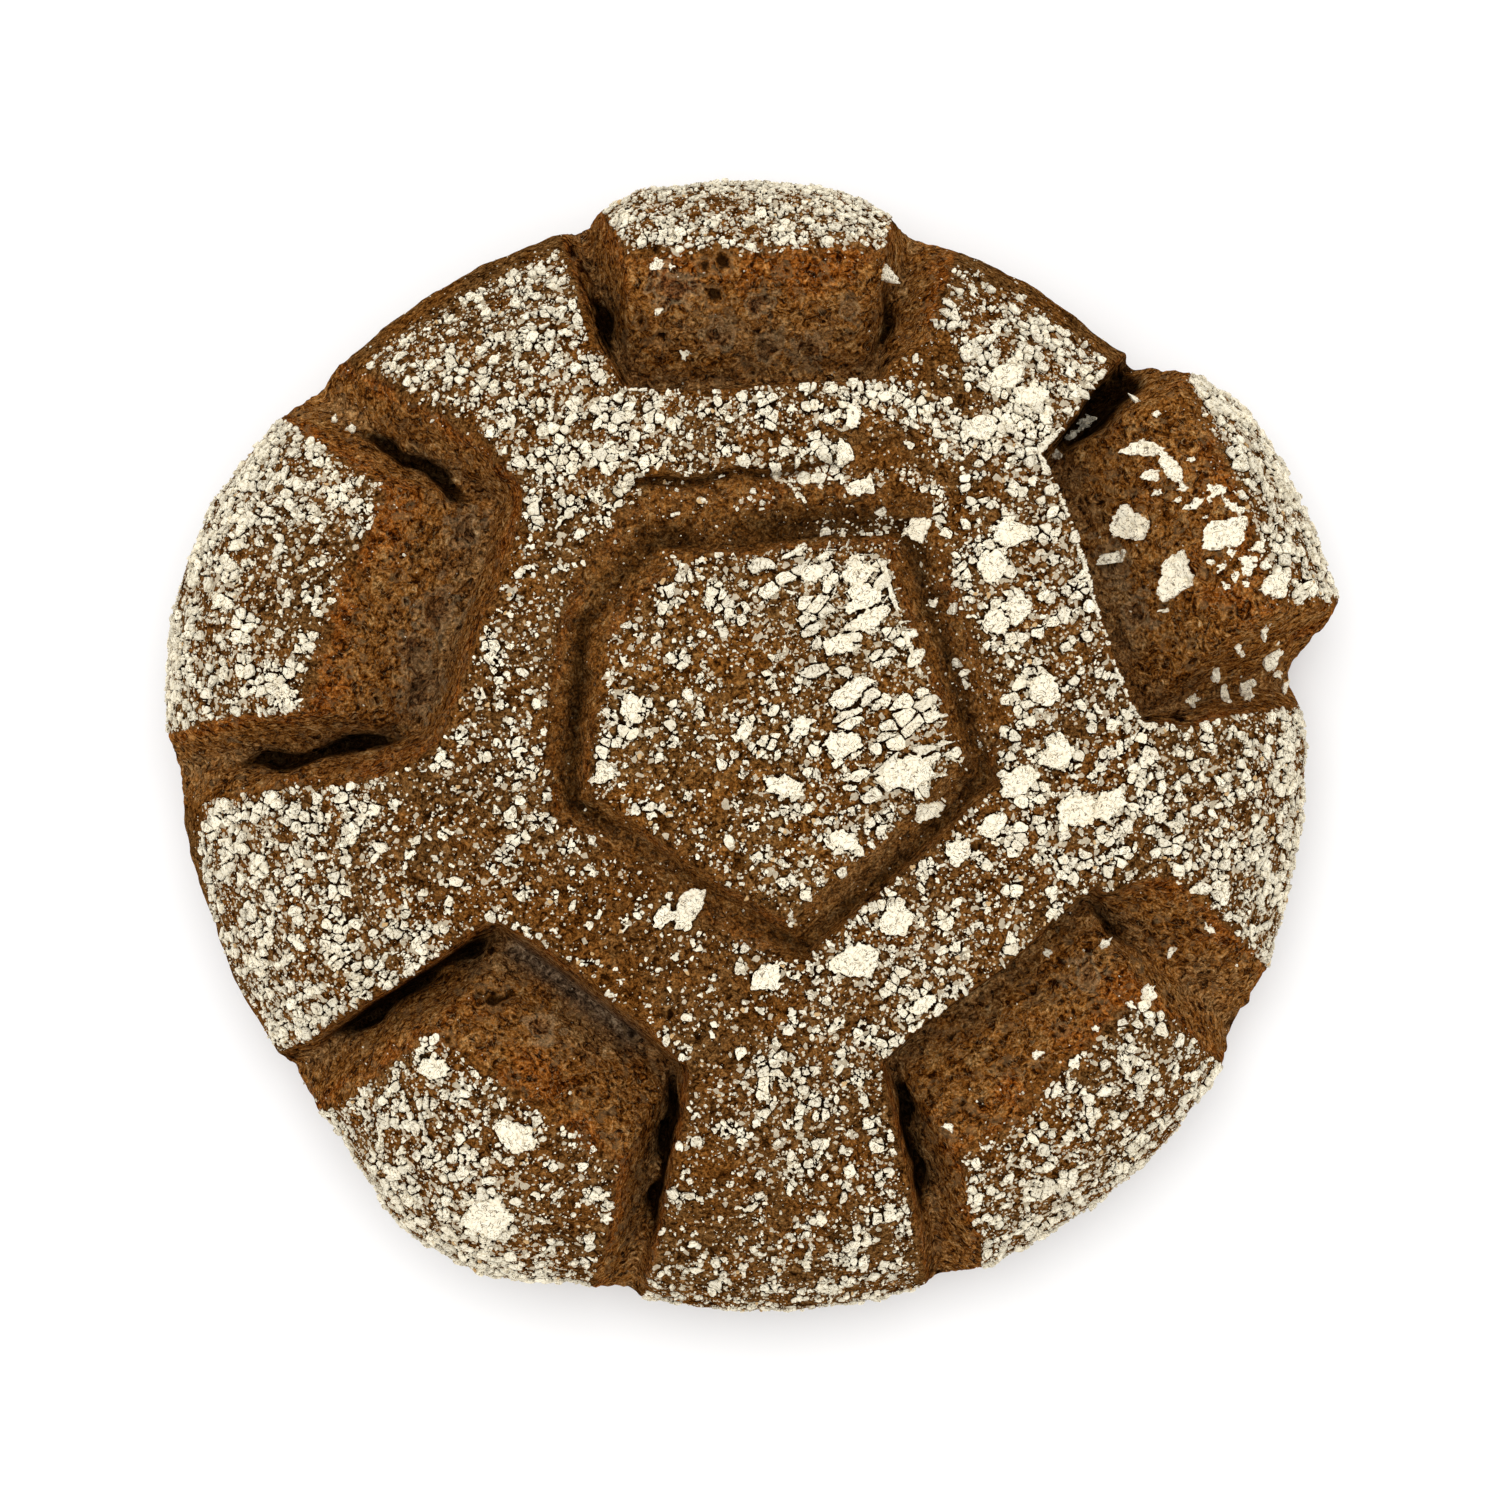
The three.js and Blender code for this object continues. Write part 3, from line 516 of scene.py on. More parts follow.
def make_form():
    n = int(math.ceil((WAY_ALL + 2) / GRID))
    size = 2 * n + 1
    axis = np.arange(-n, n + 1) * GRID
    u, v = (m.ravel() for m in np.meshgrid(axis, axis))
    way = np.hypot(u, v)
    plain, (torn_at, groove_at, fringe, in_isle, slit_shade, in_block) = place(u, v)
    # the right block has torn open further than its slope reaches
    wide = (in_block > 0) * ease((plain[:, 0] - 55) / 6) * ease((plain[:, 1] - 12) / 8)
    torn_at = torn_at - 0.13 * wide * ease((torn_at - 0.70) / 0.20)
    # and the groove left of the lower left block has closed near the rim
    torn_at = torn_at + 1.2 * ease((9.0 - np.hypot(plain[:, 0] + 80, plain[:, 1] + 57)) / 6.0)
    grid = plain.reshape(size, size, 3)
    along_u, along_v = np.gradient(grid, axis=1), np.gradient(grid, axis=0)
    stretch = np.maximum(np.linalg.norm(along_u, axis=2), np.linalg.norm(along_v, axis=2)).ravel() / GRID
    steep = ease((stretch - 1.8) / 0.8)
    normal = np.cross(along_u, along_v)
    for _ in range(2):
        normal = (normal + np.roll(normal, 1, 0) + np.roll(normal, -1, 0) + np.roll(normal, 1, 1) + np.roll(normal, -1, 1)) / 5
    normal = normal.reshape(-1, 3)
    length = np.linalg.norm(normal, axis=1, keepdims=True)
    normal = np.where(length > 1e-9, normal / np.maximum(length, 1e-9), (0.0, 0.0, -1.0))

    # how sharply the crust bends, so that the mesh can be finer there
    bends = normal.reshape(size, size, 3)
    bend = (np.linalg.norm(np.gradient(bends, axis=0), axis=2) + np.linalg.norm(np.gradient(bends, axis=1), axis=2)) / GRID
    for _ in range(3):
        bend = (bend + np.roll(bend, 2, 0) + np.roll(bend, -2, 0) + np.roll(bend, 2, 1) + np.roll(bend, -2, 1)) / 5
    bend = np.clip(bend.ravel() / 0.35, 0, 1)

    live = way < WAY_ALL + 1.0
    p = plain[live]
    side = ease((way - WAY_RIM + 6.0) / 12.0)
    rag = np.zeros(len(u))
    rag[live] = 0.12 * noise3(p / 2.2, 8) + 0.10 * noise3(p / 0.9, 9)
    torn = ease((1.03 + rag - torn_at) / 0.12) * (1 - 0.5 * side)
    bare = ease((0.86 + rag - groove_at) / 0.25)
    # how low a place lies in its groove; the crust's colour is darkened by it as painted shade, grey-brown low in the
    # grooves
    hollow_shade = np.where(torn_at < 1, 1.0 - np.clip(torn_at, 0, 1), 0.0)
    hollow_shade = np.maximum(hollow_shade, 0.75 * np.where(groove_at < 1, 1.0 - np.clip(groove_at, 0, 1), 0.0))

    # painted shade: the lower right of the island's groove is raised to near full depth in the groove mask, so it gets
    # the grey-brown painted shade
    olive_shade = (in_isle > 0) * ease((plain[:, 0] - 2) / 10) * ease((2 - plain[:, 1]) / 8) * ease((1.0 - groove_at) / 0.15)
    hollow_shade = np.maximum(hollow_shade, 0.92 * olive_shade)

    t, s = torn[live], side[live]
    lumpy = 0.45 * noise3(p / 8.0, 1) + 0.30 * noise3(p / 3.2, 2)
    skin = 0.13 * noise3(p / 1.4, 3) + 0.07 * noise3(p / 0.8, 10)
    rough = 0.42 * noise3(p / 2.3, 4) + 0.34 * noise3(p / 1.15, 5)
    bent = p + 0.5 * np.stack([noise3(p / 1.2, 13), noise3(p / 1.2, 14), noise3(p / 1.2, 15)], axis=1)
    pit = pits3(bent / 4.4, 1, 0.26, 0.10, 0.30)
    pit2 = pits3(bent / 1.9, 2, 0.45, 0.20, 0.46)
    keep = ease(torn_at[live] / 0.12)
    deep, inner, pale = table_pores(p)
    pore = np.maximum(np.maximum(inner, np.clip(1.6 * pit, 0, 1) * keep), np.clip(1.3 * pit2, 0, 1) * keep * 0.8)
    holes = np.maximum(1.3 * ease(1.7 * pit), 0.75 * ease(1.5 * pit2)) * keep
    out = lumpy + (1 - 0.4 * s) * skin + t * (rough * (0.35 + 0.65 * keep) - holes) - np.maximum(t, 0.4) * deep
    fade = 1 - ease((way[live] - (WAY_ALL - 5)) / 5)
    lift = np.zeros(len(u))
    lift[live] = out * fade * np.clip((2.4 / stretch[live]) ** 2, 0.06, 1.0)
    form = plain + normal * lift[:, None]
    form[:, 2] = np.maximum(form[:, 2], 0.0)
    grow = np.zeros(len(u))
    grow[live] = pore * np.maximum(t, inner > 0)
    grey = np.zeros(len(u))
    grey[live] = pale
    # painted shade along the bottom of the island's groove, patchy and weaker at the lower left
    sunk_shade = ease((lerp(0.56, 0.72, ease((plain[:, 1] - 28) / 6)) + 1.5 * rag - groove_at) / 0.62)
    wall = along_line(plain[:, 0], plain[:, 1], *PALE_WALL)[3]
    wan = np.maximum(np.exp(-((wall + 3 * rag) / 1.7) ** 2) * (torn_at < 0.9), 0.25 * ease((grey - 0.1) / 0.5))
    sunk_shade = sunk_shade * (1 - 0.45 * ease((4 - plain[:, 0]) / 8) * ease((-8 - plain[:, 1]) / 8))
    sunk_shade = sunk_shade * np.clip(0.85 + 0.7 * noise2(plain[:, 0] / 8.0, plain[:, 1] / 8.0, 71), 0.30, 1.0)
    bare = np.maximum(bare, ease((0.98 + 0.5 * rag - groove_at) / 0.1) * (in_isle > 0))

    # flour: none on torn faces, a little in the island's groove, and none on
    # the side but for the near and right part of the rim
    px, py = plain[:, 0], plain[:, 1]
    margin = np.maximum.reduce([0.17 * ease((-36 - px) / 5) * ease((py + 10) / 8),
                                0.40 * ease((-16 - px) / 4) * ease((px + 45) / 6) * ease((py - 62) / 4),
                                0.40 * ease((px - 16) / 4) * ease((36 - px) / 4) * ease((-50 - py) / 4)]) * (in_block < 0)
    open_top = ease((torn_at - 0.95 - margin + 0.6 * rag) / 0.09)
    right = ease((plain[:, 0] - 24) / 10) * ease((46 - plain[:, 1]) / 10)
    in_groove = np.where(in_isle > 0, ease((groove_at - 0.93 + 0.4 * rag) / 0.08),
                         lerp(lerp(0.08, 0.26, right), 1.0, ease((groove_at - 0.62 + rag) / 0.36)))
    turn = np.arctan2(v, u)
    front = ease((np.cos(turn + math.radians(52)) + 0.05) / 0.3)
    front = np.maximum(front, 0.45 * ease((np.cos(turn + math.radians(150)) - 0.92) / 0.05))
    front = np.maximum(front, ease((in_block - 2.0) / 4.0) * (torn_at > 0.9))
    front = front * (1 - 0.35 * ease((-76 - px) / 10))
    low = ease((way - WAY_RIM + lerp(16.5, 1.0, front)) / lerp(7.0, 12.0, front))
    cover = cover_at(u, v)
    fringe = fringe * open_top * (1 - steep) * (1 - low)
    cover = np.maximum(0.88 * cover * in_groove * open_top * (1 - low) * (1 - steep), 0.8 * fringe)
    for points, share in CRUMB_LINES:
        line = np.minimum.reduce([along_line(plain[:, 0], plain[:, 1], points[k], points[k + 1])[3] for k in range(len(points) - 1)])
        cover = np.maximum(cover, share * np.exp(-((line + 4 * rag) / 1.3) ** 2))
    fields = np.stack([torn, hollow_shade, grow, side, cover, bare, in_isle, slit_shade, grey, sunk_shade, bend, fringe, steep, wan], axis=1)
    return n, form.reshape(size, size, 3), normal.reshape(size, size, 3), fields.reshape(size, size, -1)


FORM = make_form()
TORN, HOLLOW_SHADE, PORE, SIDE, COVERED, BARE, IN_ISLE, SLIT_SHADE, GREY, SUNK_SHADE, BEND, FRINGE, STEEP, WAN = range(14)


def look_up(u, v, table):
    n = FORM[0]
    a, b = u / GRID + n, v / GRID + n
    i, j = np.clip(a.astype(np.int64), 0, 2 * n - 1), np.clip(b.astype(np.int64), 0, 2 * n - 1)
    s, t = (a - i)[:, None], (b - j)[:, None]
    return (table[j, i] * (1 - s) * (1 - t) + table[j, i + 1] * s * (1 - t)
            + table[j + 1, i] * (1 - s) * t + table[j + 1, i + 1] * s * t)


def make_mesh(name, points, tris, smooth=True):
    mesh = bpy.data.meshes.new(name)
    mesh.vertices.add(len(points))
    mesh.vertices.foreach_set("co", ((points + np.array([SHIFT_X, SHIFT_Y, 0.0])) * MM).astype(np.float32).ravel())
    mesh.loops.add(3 * len(tris))
    mesh.loops.foreach_set("vertex_index", tris.astype(np.int32).ravel())
    mesh.polygons.add(len(tris))
    mesh.polygons.foreach_set("loop_start", np.arange(0, 3 * len(tris), 3, dtype=np.int32))
    mesh.polygons.foreach_set("use_smooth", np.full(len(tris), smooth))
    mesh.update(calc_edges=True)
    mesh.validate()
    obj = bpy.data.objects.new(name, mesh)
    bpy.context.scene.collection.objects.link(obj)
    return obj


def add_attribute(obj, name, values):
    layer = obj.data.attributes.new(name, "FLOAT", "POINT")
    layer.data.foreach_set("value", np.asarray(values, np.float32))


# ---------------------------------------------------------------------------
# The crust
# ---------------------------------------------------------------------------
RINGS = 177


def disc(rings):
    """A disc of near-equal triangles: ring k has 6 k points."""
    points = [np.zeros((1, 2))]
    tris = []
    start = 1
    for k in range(1, rings + 1):
        a = 2 * math.pi * np.arange(6 * k) / (6 * k)
        points.append(np.stack([np.cos(a), np.sin(a)], axis=1) * (k / rings))
        before = start - 6 * (k - 1) if k > 1 else 0
        sector = np.repeat(np.arange(6), k)
        i = np.tile(np.arange(k), 6)
        outer0 = start + sector * k + i
        outer1 = start + (sector * k + i + 1) % (6 * k)
        inner0 = before + ((sector * (k - 1) + i) % (6 * (k - 1)) if k > 1 else 0 * i)
        tris.append(np.stack([inner0, outer0, outer1], axis=1))
        m = i < k - 1
        if m.any():
            inner1 = before + (sector * (k - 1) + i + 1) % (6 * (k - 1))
            tris.append(np.stack([inner0[m], outer1[m], inner1[m]], axis=1))
        start += 6 * k
    return np.concatenate(points), np.concatenate(tris)


def flour_near(u, v):
    """Share of the crust close by that the flour hides."""
    rows, cols = FLOUR[0].shape
    mask = (FLOUR[5] > 0).reshape(rows, cols).astype(float)
    for axis in (0, 1):
        mask = sum(np.roll(mask, k, axis) for k in range(-2, 3)) / 5
    i = np.clip(np.round((v + WAY_RIM + 12) / (LATTICE * math.sqrt(3) / 2)).astype(int), 0, rows - 1)
    j = np.clip(np.round((u + WAY_RIM + 12) / LATTICE).astype(int), 0, cols - 1)
    return mask[i, j]


def make_crust():
    flat, tris = disc(RINGS)
    p = flat * WAY_ALL
    fixed = np.zeros(len(p), bool)
    fixed[-6 * RINGS:] = True
    edges = np.concatenate([tris[:, [0, 1]], tris[:, [1, 2]], tris[:, [2, 0]]])
    edges.sort(axis=1)
    edges = np.unique(edges[:, 0] * len(p) + edges[:, 1])
    a, b = edges // len(p), edges % len(p)
    # draw points together on steep walls and torn faces, thin them out low on the side
    for _ in range(70):
        q = look_up(p[:, 0], p[:, 1], FORM[1])
        f = look_up(p[:, 0], p[:, 1], FORM[3])
        way = np.hypot(p[:, 0], p[:, 1])
        want = (1.0 - 0.55 * ease((way - WAY_RIM + 6) / 16)) * (1 + 0.35 * f[:, TORN] + 1.3 * np.maximum(f[:, BEND], f[:, SLIT_SHADE]))
        w = np.linalg.norm(q[a] - q[b], axis=1) / np.maximum(np.linalg.norm(p[a] - p[b], axis=1), 1e-6)
        w = w ** 1.1 * 0.5 * (want[a] + want[b])
        weight = np.bincount(a, w, len(p)) + np.bincount(b, w, len(p))
        new = np.stack([(np.bincount(a, w * p[b, c], len(p)) + np.bincount(b, w * p[a, c], len(p))) / weight
                        for c in (0, 1)], axis=1)
        p = np.where(fixed[:, None], p, lerp(p, new, 0.8))
    out = look_up(p[:, 0], p[:, 1], FORM[1])
    f = look_up(p[:, 0], p[:, 1], FORM[3])
    out[fixed, 2] = 0.0

    # underside: rings with about half as many points each, then a middle
    count = 6 * RINGS
    ring = np.arange(len(out) - count, len(out))
    edge = out[ring].copy()
    at = np.linspace(0, 1, count, endpoint=False)
    more, faces = [], []
    total = len(out)
    for scale, parts in ((0.96, 531), (0.88, 266), (0.74, 133), (0.52, 67), (0.28, 34)):
        inner = np.arange(total, total + parts)
        at2 = np.linspace(0, 1, parts, endpoint=False)
        pick = np.round(at2 * count).astype(int) % count
        more.append(edge[pick] * np.array([scale, scale, 0.0]))
        i = j = 0
        rows = []
        na, nb = len(ring), parts
        while i < na or j < nb:
            if j >= nb or (i < na and (i + 1) / na <= (j + 1) / nb):
                rows.append((ring[(i + 1) % na], ring[i % na], inner[j % nb]))
                i += 1
            else:
                rows.append((inner[j % nb], inner[(j + 1) % nb], ring[i % na]))
                j += 1
        faces.append(np.array(rows))
        ring = inner
        total += parts
    more.append(np.zeros((1, 3)))
    i = np.arange(len(ring))
    faces.append(np.stack([ring[(i + 1) % len(ring)], ring[i], np.full(len(ring), total)], 1))
    added = sum(len(m) for m in more)
    obj = make_mesh("crust", np.concatenate([out] + more), np.concatenate([tris] + faces))
    pad = np.zeros(added)
    for name, k, rest in (("torn", TORN, 0), ("hollow_shade", HOLLOW_SHADE, 0), ("pore", PORE, 0), ("side", SIDE, 1),
                          ("dust", COVERED, 0), ("bare", BARE, 0), ("slit_shade", SLIT_SHADE, 0), ("grey", GREY, 0), ("sunk_shade", SUNK_SHADE, 0), ("isle", IN_ISLE, -9), ("wan", WAN, 0)):
        add_attribute(obj, name, np.concatenate([f[:, k], pad + rest]))
    add_attribute(obj, "near", np.concatenate([flour_near(p[:, 0], p[:, 1]), pad]))
    print("crust", len(obj.data.polygons), "triangles")
    return obj


# ---------------------------------------------------------------------------
# The flour: a broken layer, cut out of a fine mesh of the unrolled disc
# ---------------------------------------------------------------------------
LATTICE = 0.25
CHIP, CRUMB = 1.70, 0.72


def spread(n):
    """The same values, spread evenly from 0 to 1."""
    order = np.sort(n[::5])
    return np.interp(n, order, np.linspace(0, 1, len(order)))


def plate_field(u, v):
    """Distance in from the edge of the nearest larger plate, and its height."""
    best = np.full(u.shape, -1.0)
    tall = np.zeros(u.shape)
    rng = np.random.default_rng(91)
    rag = 0.24 * noise2(u / 1.4, v / 1.4, 21) + 0.26 * noise2(u / 0.62, v / 0.62, 22)
    floor_z = look_up(u, v, FORM[1][..., 2:3])[:, 0]
    for x, y, length, width, turn in PLATES:
        a, b = (float(m) for m in unroll(np.array(float(x)), np.array(float(y))))
        c, s = math.cos(math.radians(turn)), math.sin(math.radians(turn))
        sides = 5 + int(length / 3.2)
        face = 2 * math.pi * (np.arange(sides) + rng.uniform(-0.42, 0.42, sides)) / sides
        reach = rng.uniform(0.66, 1.06, sides)
        near = (np.abs(u - a) < length) & (np.abs(v - b) < length)
        du, dv = u[near] - a, v[near] - b
        qa, qb = (du * c + dv * s) / (0.5 * length), (dv * c - du * s) / (0.5 * width)
        d = np.full(qa.shape, 9.0)
        for k in range(sides):
            d = np.minimum(d, reach[k] - (qa * math.cos(face[k]) + qb * math.sin(face[k])))
        d = d * 0.5 * width + rag[near]
        best[near] = np.maximum(best[near], d)
        prop = np.clip(0.55 * (np.mean(floor_z[near][d > 0]) - floor_z[near]), -0.2, 1.8)
        tall[near] = np.where(d > -0.1, np.maximum(tall[near], 0.40 + 0.05 * length + prop), tall[near])
    return best, tall


def streak_zone(u, v):
    """The island's right half, where the chips run in streaks."""
    return ease((u + 0.45 * v - 4) / 14) * ease((v + 18) / 10)


def patchy(a, b):
    return spread(0.50 * noise2(a / 7.0, b / 7.0, 81) + 0.75 * noise2(a / 3.0, b / 3.0, 82) + 0.35 * noise2(a / 1.5, b / 1.5, 83))


def lying(a, b):
    return look_up(a, b, FORM[3][..., COVERED:COVERED + 1])[:, 0]


def flour_layer():
    """The mesh points of the disc with the field that is over 0 under flour."""
    step_v = LATTICE * math.sqrt(3) / 2
    rows = int(2 * (WAY_RIM + 12) / step_v)
    rows += rows % 2
    cols = int(2 * (WAY_RIM + 12) / LATTICE) + 2
    i, j = np.meshgrid(np.arange(rows), np.arange(cols), indexing="ij")
    u = ((j + 0.5 * (i % 2)) * LATTICE - WAY_RIM - 12).ravel()
    v = (i * step_v - WAY_RIM - 12).ravel()
    u = u + 0.25 * LATTICE * noise2(u * 3.1, v * 3.1, 31)
    v = v + 0.25 * LATTICE * noise2(u * 3.3, v * 2.9, 32)
    at = np.where(np.hypot(u, v) < WAY_RIM + 11)[0]
    x, y = u[at], v[at]
    f = look_up(x, y, FORM[3])
    cover = f[:, COVERED]

    # cells of two sizes: some chips stay whole, others have broken into crumbs
    wx = x + 0.15 * noise2(x / 1.3, y / 1.3, 51) + 0.07 * noise2(x / 0.5, y / 0.5, 54)
    wy = y + 0.15 * noise2(x / 1.3, y / 1.3, 52) + 0.07 * noise2(x / 0.5, y / 0.5, 55)
    d1, d2, who, sx, sy = cells2(wx / CHIP, wy / CHIP, 5)
    e1, e2, who2, tx, ty = cells2(wx / CRUMB, wy / CRUMB, 6)
    gap, gap2 = 0.5 * (d2 - d1) * CHIP, 0.5 * (e2 - e1) * CRUMB
    sx, sy, tx, ty = sx * CHIP, sy * CHIP, tx * CRUMB, ty * CRUMB
    even = ease((y - 82) / 8)
    whole = _u4[who, 3] < (lerp(0.20, 0.38, ease((x - 10) / 30)) + 0.26 * ease((lying(sx, sy) - 0.40) / 0.16)) * (1 - 0.7 * even)
    rank = spread(lerp(0.34, 0.22, even) * patchy(tx, ty) + lerp(0.32, 0.22, even) * _u4[who, 2] + lerp(0.34, 0.56, even) * _u4[who2, 2])
    rank_whole = spread(0.40 * patchy(sx, sy) + 0.60 * _u4[who, 2])
    here = np.where(whole, lying(sx, sy) - rank_whole, lying(tx, ty) - rank)
    firm = ease((here - 0.06) / 0.26)
    crack = 0.08 + 0.20 * np.clip(noise2(x / 2.6, y / 2.6, 53) + 0.25, 0, 1)
    crack2 = np.where(_t4[who, 0] < 0.45, -1.0, 0.05 + 0.09 * np.clip(noise2(x / 1.9, y / 1.9, 58) + 0.3, 0, 1))
    crack = crack * lerp(1.1, 0.80, firm)
    crack2 = np.where(crack2 < 0, crack2, crack2 * lerp(1.1, 0.45, firm))
    inner = np.where(whole, gap - crack, np.minimum(gap - crack, gap2 - crack2))
    outer = -np.where(whole, gap, np.minimum(gap, gap2)) - 0.01
    key = np.where(whole, who, who2)
    seed_x, seed_y = np.where(whole, sx, tx), np.where(whole, sy, ty)
    height = np.where(whole, 0.32 + 0.40 * _t4[who, 1], 0.17 + 0.30 * _t4[who2, 1])

    # streaks that rise to the right on one half of the island
    c, s = math.cos(math.radians(27)), math.sin(math.radians(27))
    wa, wb = wx * c + wy * s, wy * c - wx * s
    wa, wb = wa + 0.4 * noise2(x / 2.2, y / 2.2, 56), wb + 0.3 * noise2(x / 2.2, y / 2.2, 57)
    g1, g2, who3, qa, qb = cells2(wa / 3.3, wb / 1.9, 7)
    qx, qy = 3.3 * qa * c - 1.9 * qb * s, 3.3 * qa * s + 1.9 * qb * c
    streak = (streak_zone(qx, qy) + 0.9 * (_t4[who3, 0] - 0.5) > 0.5) & (f[:, IN_ISLE] > 0.5)
    rank3 = spread(0.40 * patchy(qx, qy) + 0.60 * _u4[who3, 2])
    here3 = lying(qx, qy) - rank3
    gap3 = 0.5 * (g2 - g1) * 2.3 - 0.4 * crack
    broken = _t4[who3, 1] < 0.38
    inner3 = np.where(broken, np.minimum(gap3 - crack, gap - 0.6 * crack), gap3 - crack)
    here = np.where(streak, here3, here)
    inner = np.where(streak, inner3, inner)
    outer = np.where(streak, -gap3 - 0.01, outer)
    key = np.where(streak, np.where(broken, who, who3), key)
    seed_x, seed_y = np.where(streak & ~broken, qx, np.where(streak, sx, seed_x)), np.where(streak & ~broken, qy, np.where(streak, sy, seed_y))
    height = np.where(streak, 0.34 + 0.42 * _t4[key, 1], height)

    field = np.where(here > 0, inner, outer)
    field = np.minimum(field, (cover - 0.04) * 4.0)
    # a thin whole strip along the sharp edges of the band and the island
    strip = 1.8 * (f[:, FRINGE] - 0.62 + 0.30 * noise2(x / 5.0, y / 5.0, 64) + 0.10 * noise2(x / 0.8, y / 0.8, 65))
    on_strip = strip > np.maximum(field, 0.0)
    field = np.maximum(field, strip)
    turn = 2 * math.pi * _t4[key, 2]
    tilt = (x - seed_x) * np.cos(turn) + (y - seed_y) * np.sin(turn)
    height = np.where(on_strip, 0.32 + 0.10 * noise2(x / 1.6, y / 1.6, 66), height + np.clip(0.26 * tilt, -0.22, 0.22))
    plate, tall = plate_field(x, y)
    on_plate = plate > 0
    field = np.maximum(field, plate)
    field = np.where(cover + on_plate > 0.004, np.clip(field, -1, 1), -1.0)
    height = np.where(on_plate, tall + 0.14 * noise2(x / 1.5, y / 1.5, 62) + 0.10 * noise2(x / 0.7, y / 0.7, 63), height)
    shade = np.where(whole | streak, 0.3 + 0.7 * _t4[key, 3], _t4[key, 3])
    shade = np.where(on_plate, 0.80, np.where(on_strip, 0.55, shade))
    out = []
    for values, rest in ((field, -1.0), (height, 0.1), (shade, 0.5)):
        full = np.full(u.shape, rest)
        full[at] = values
        out.append(full)
    return i, j, cols, u, v, *out


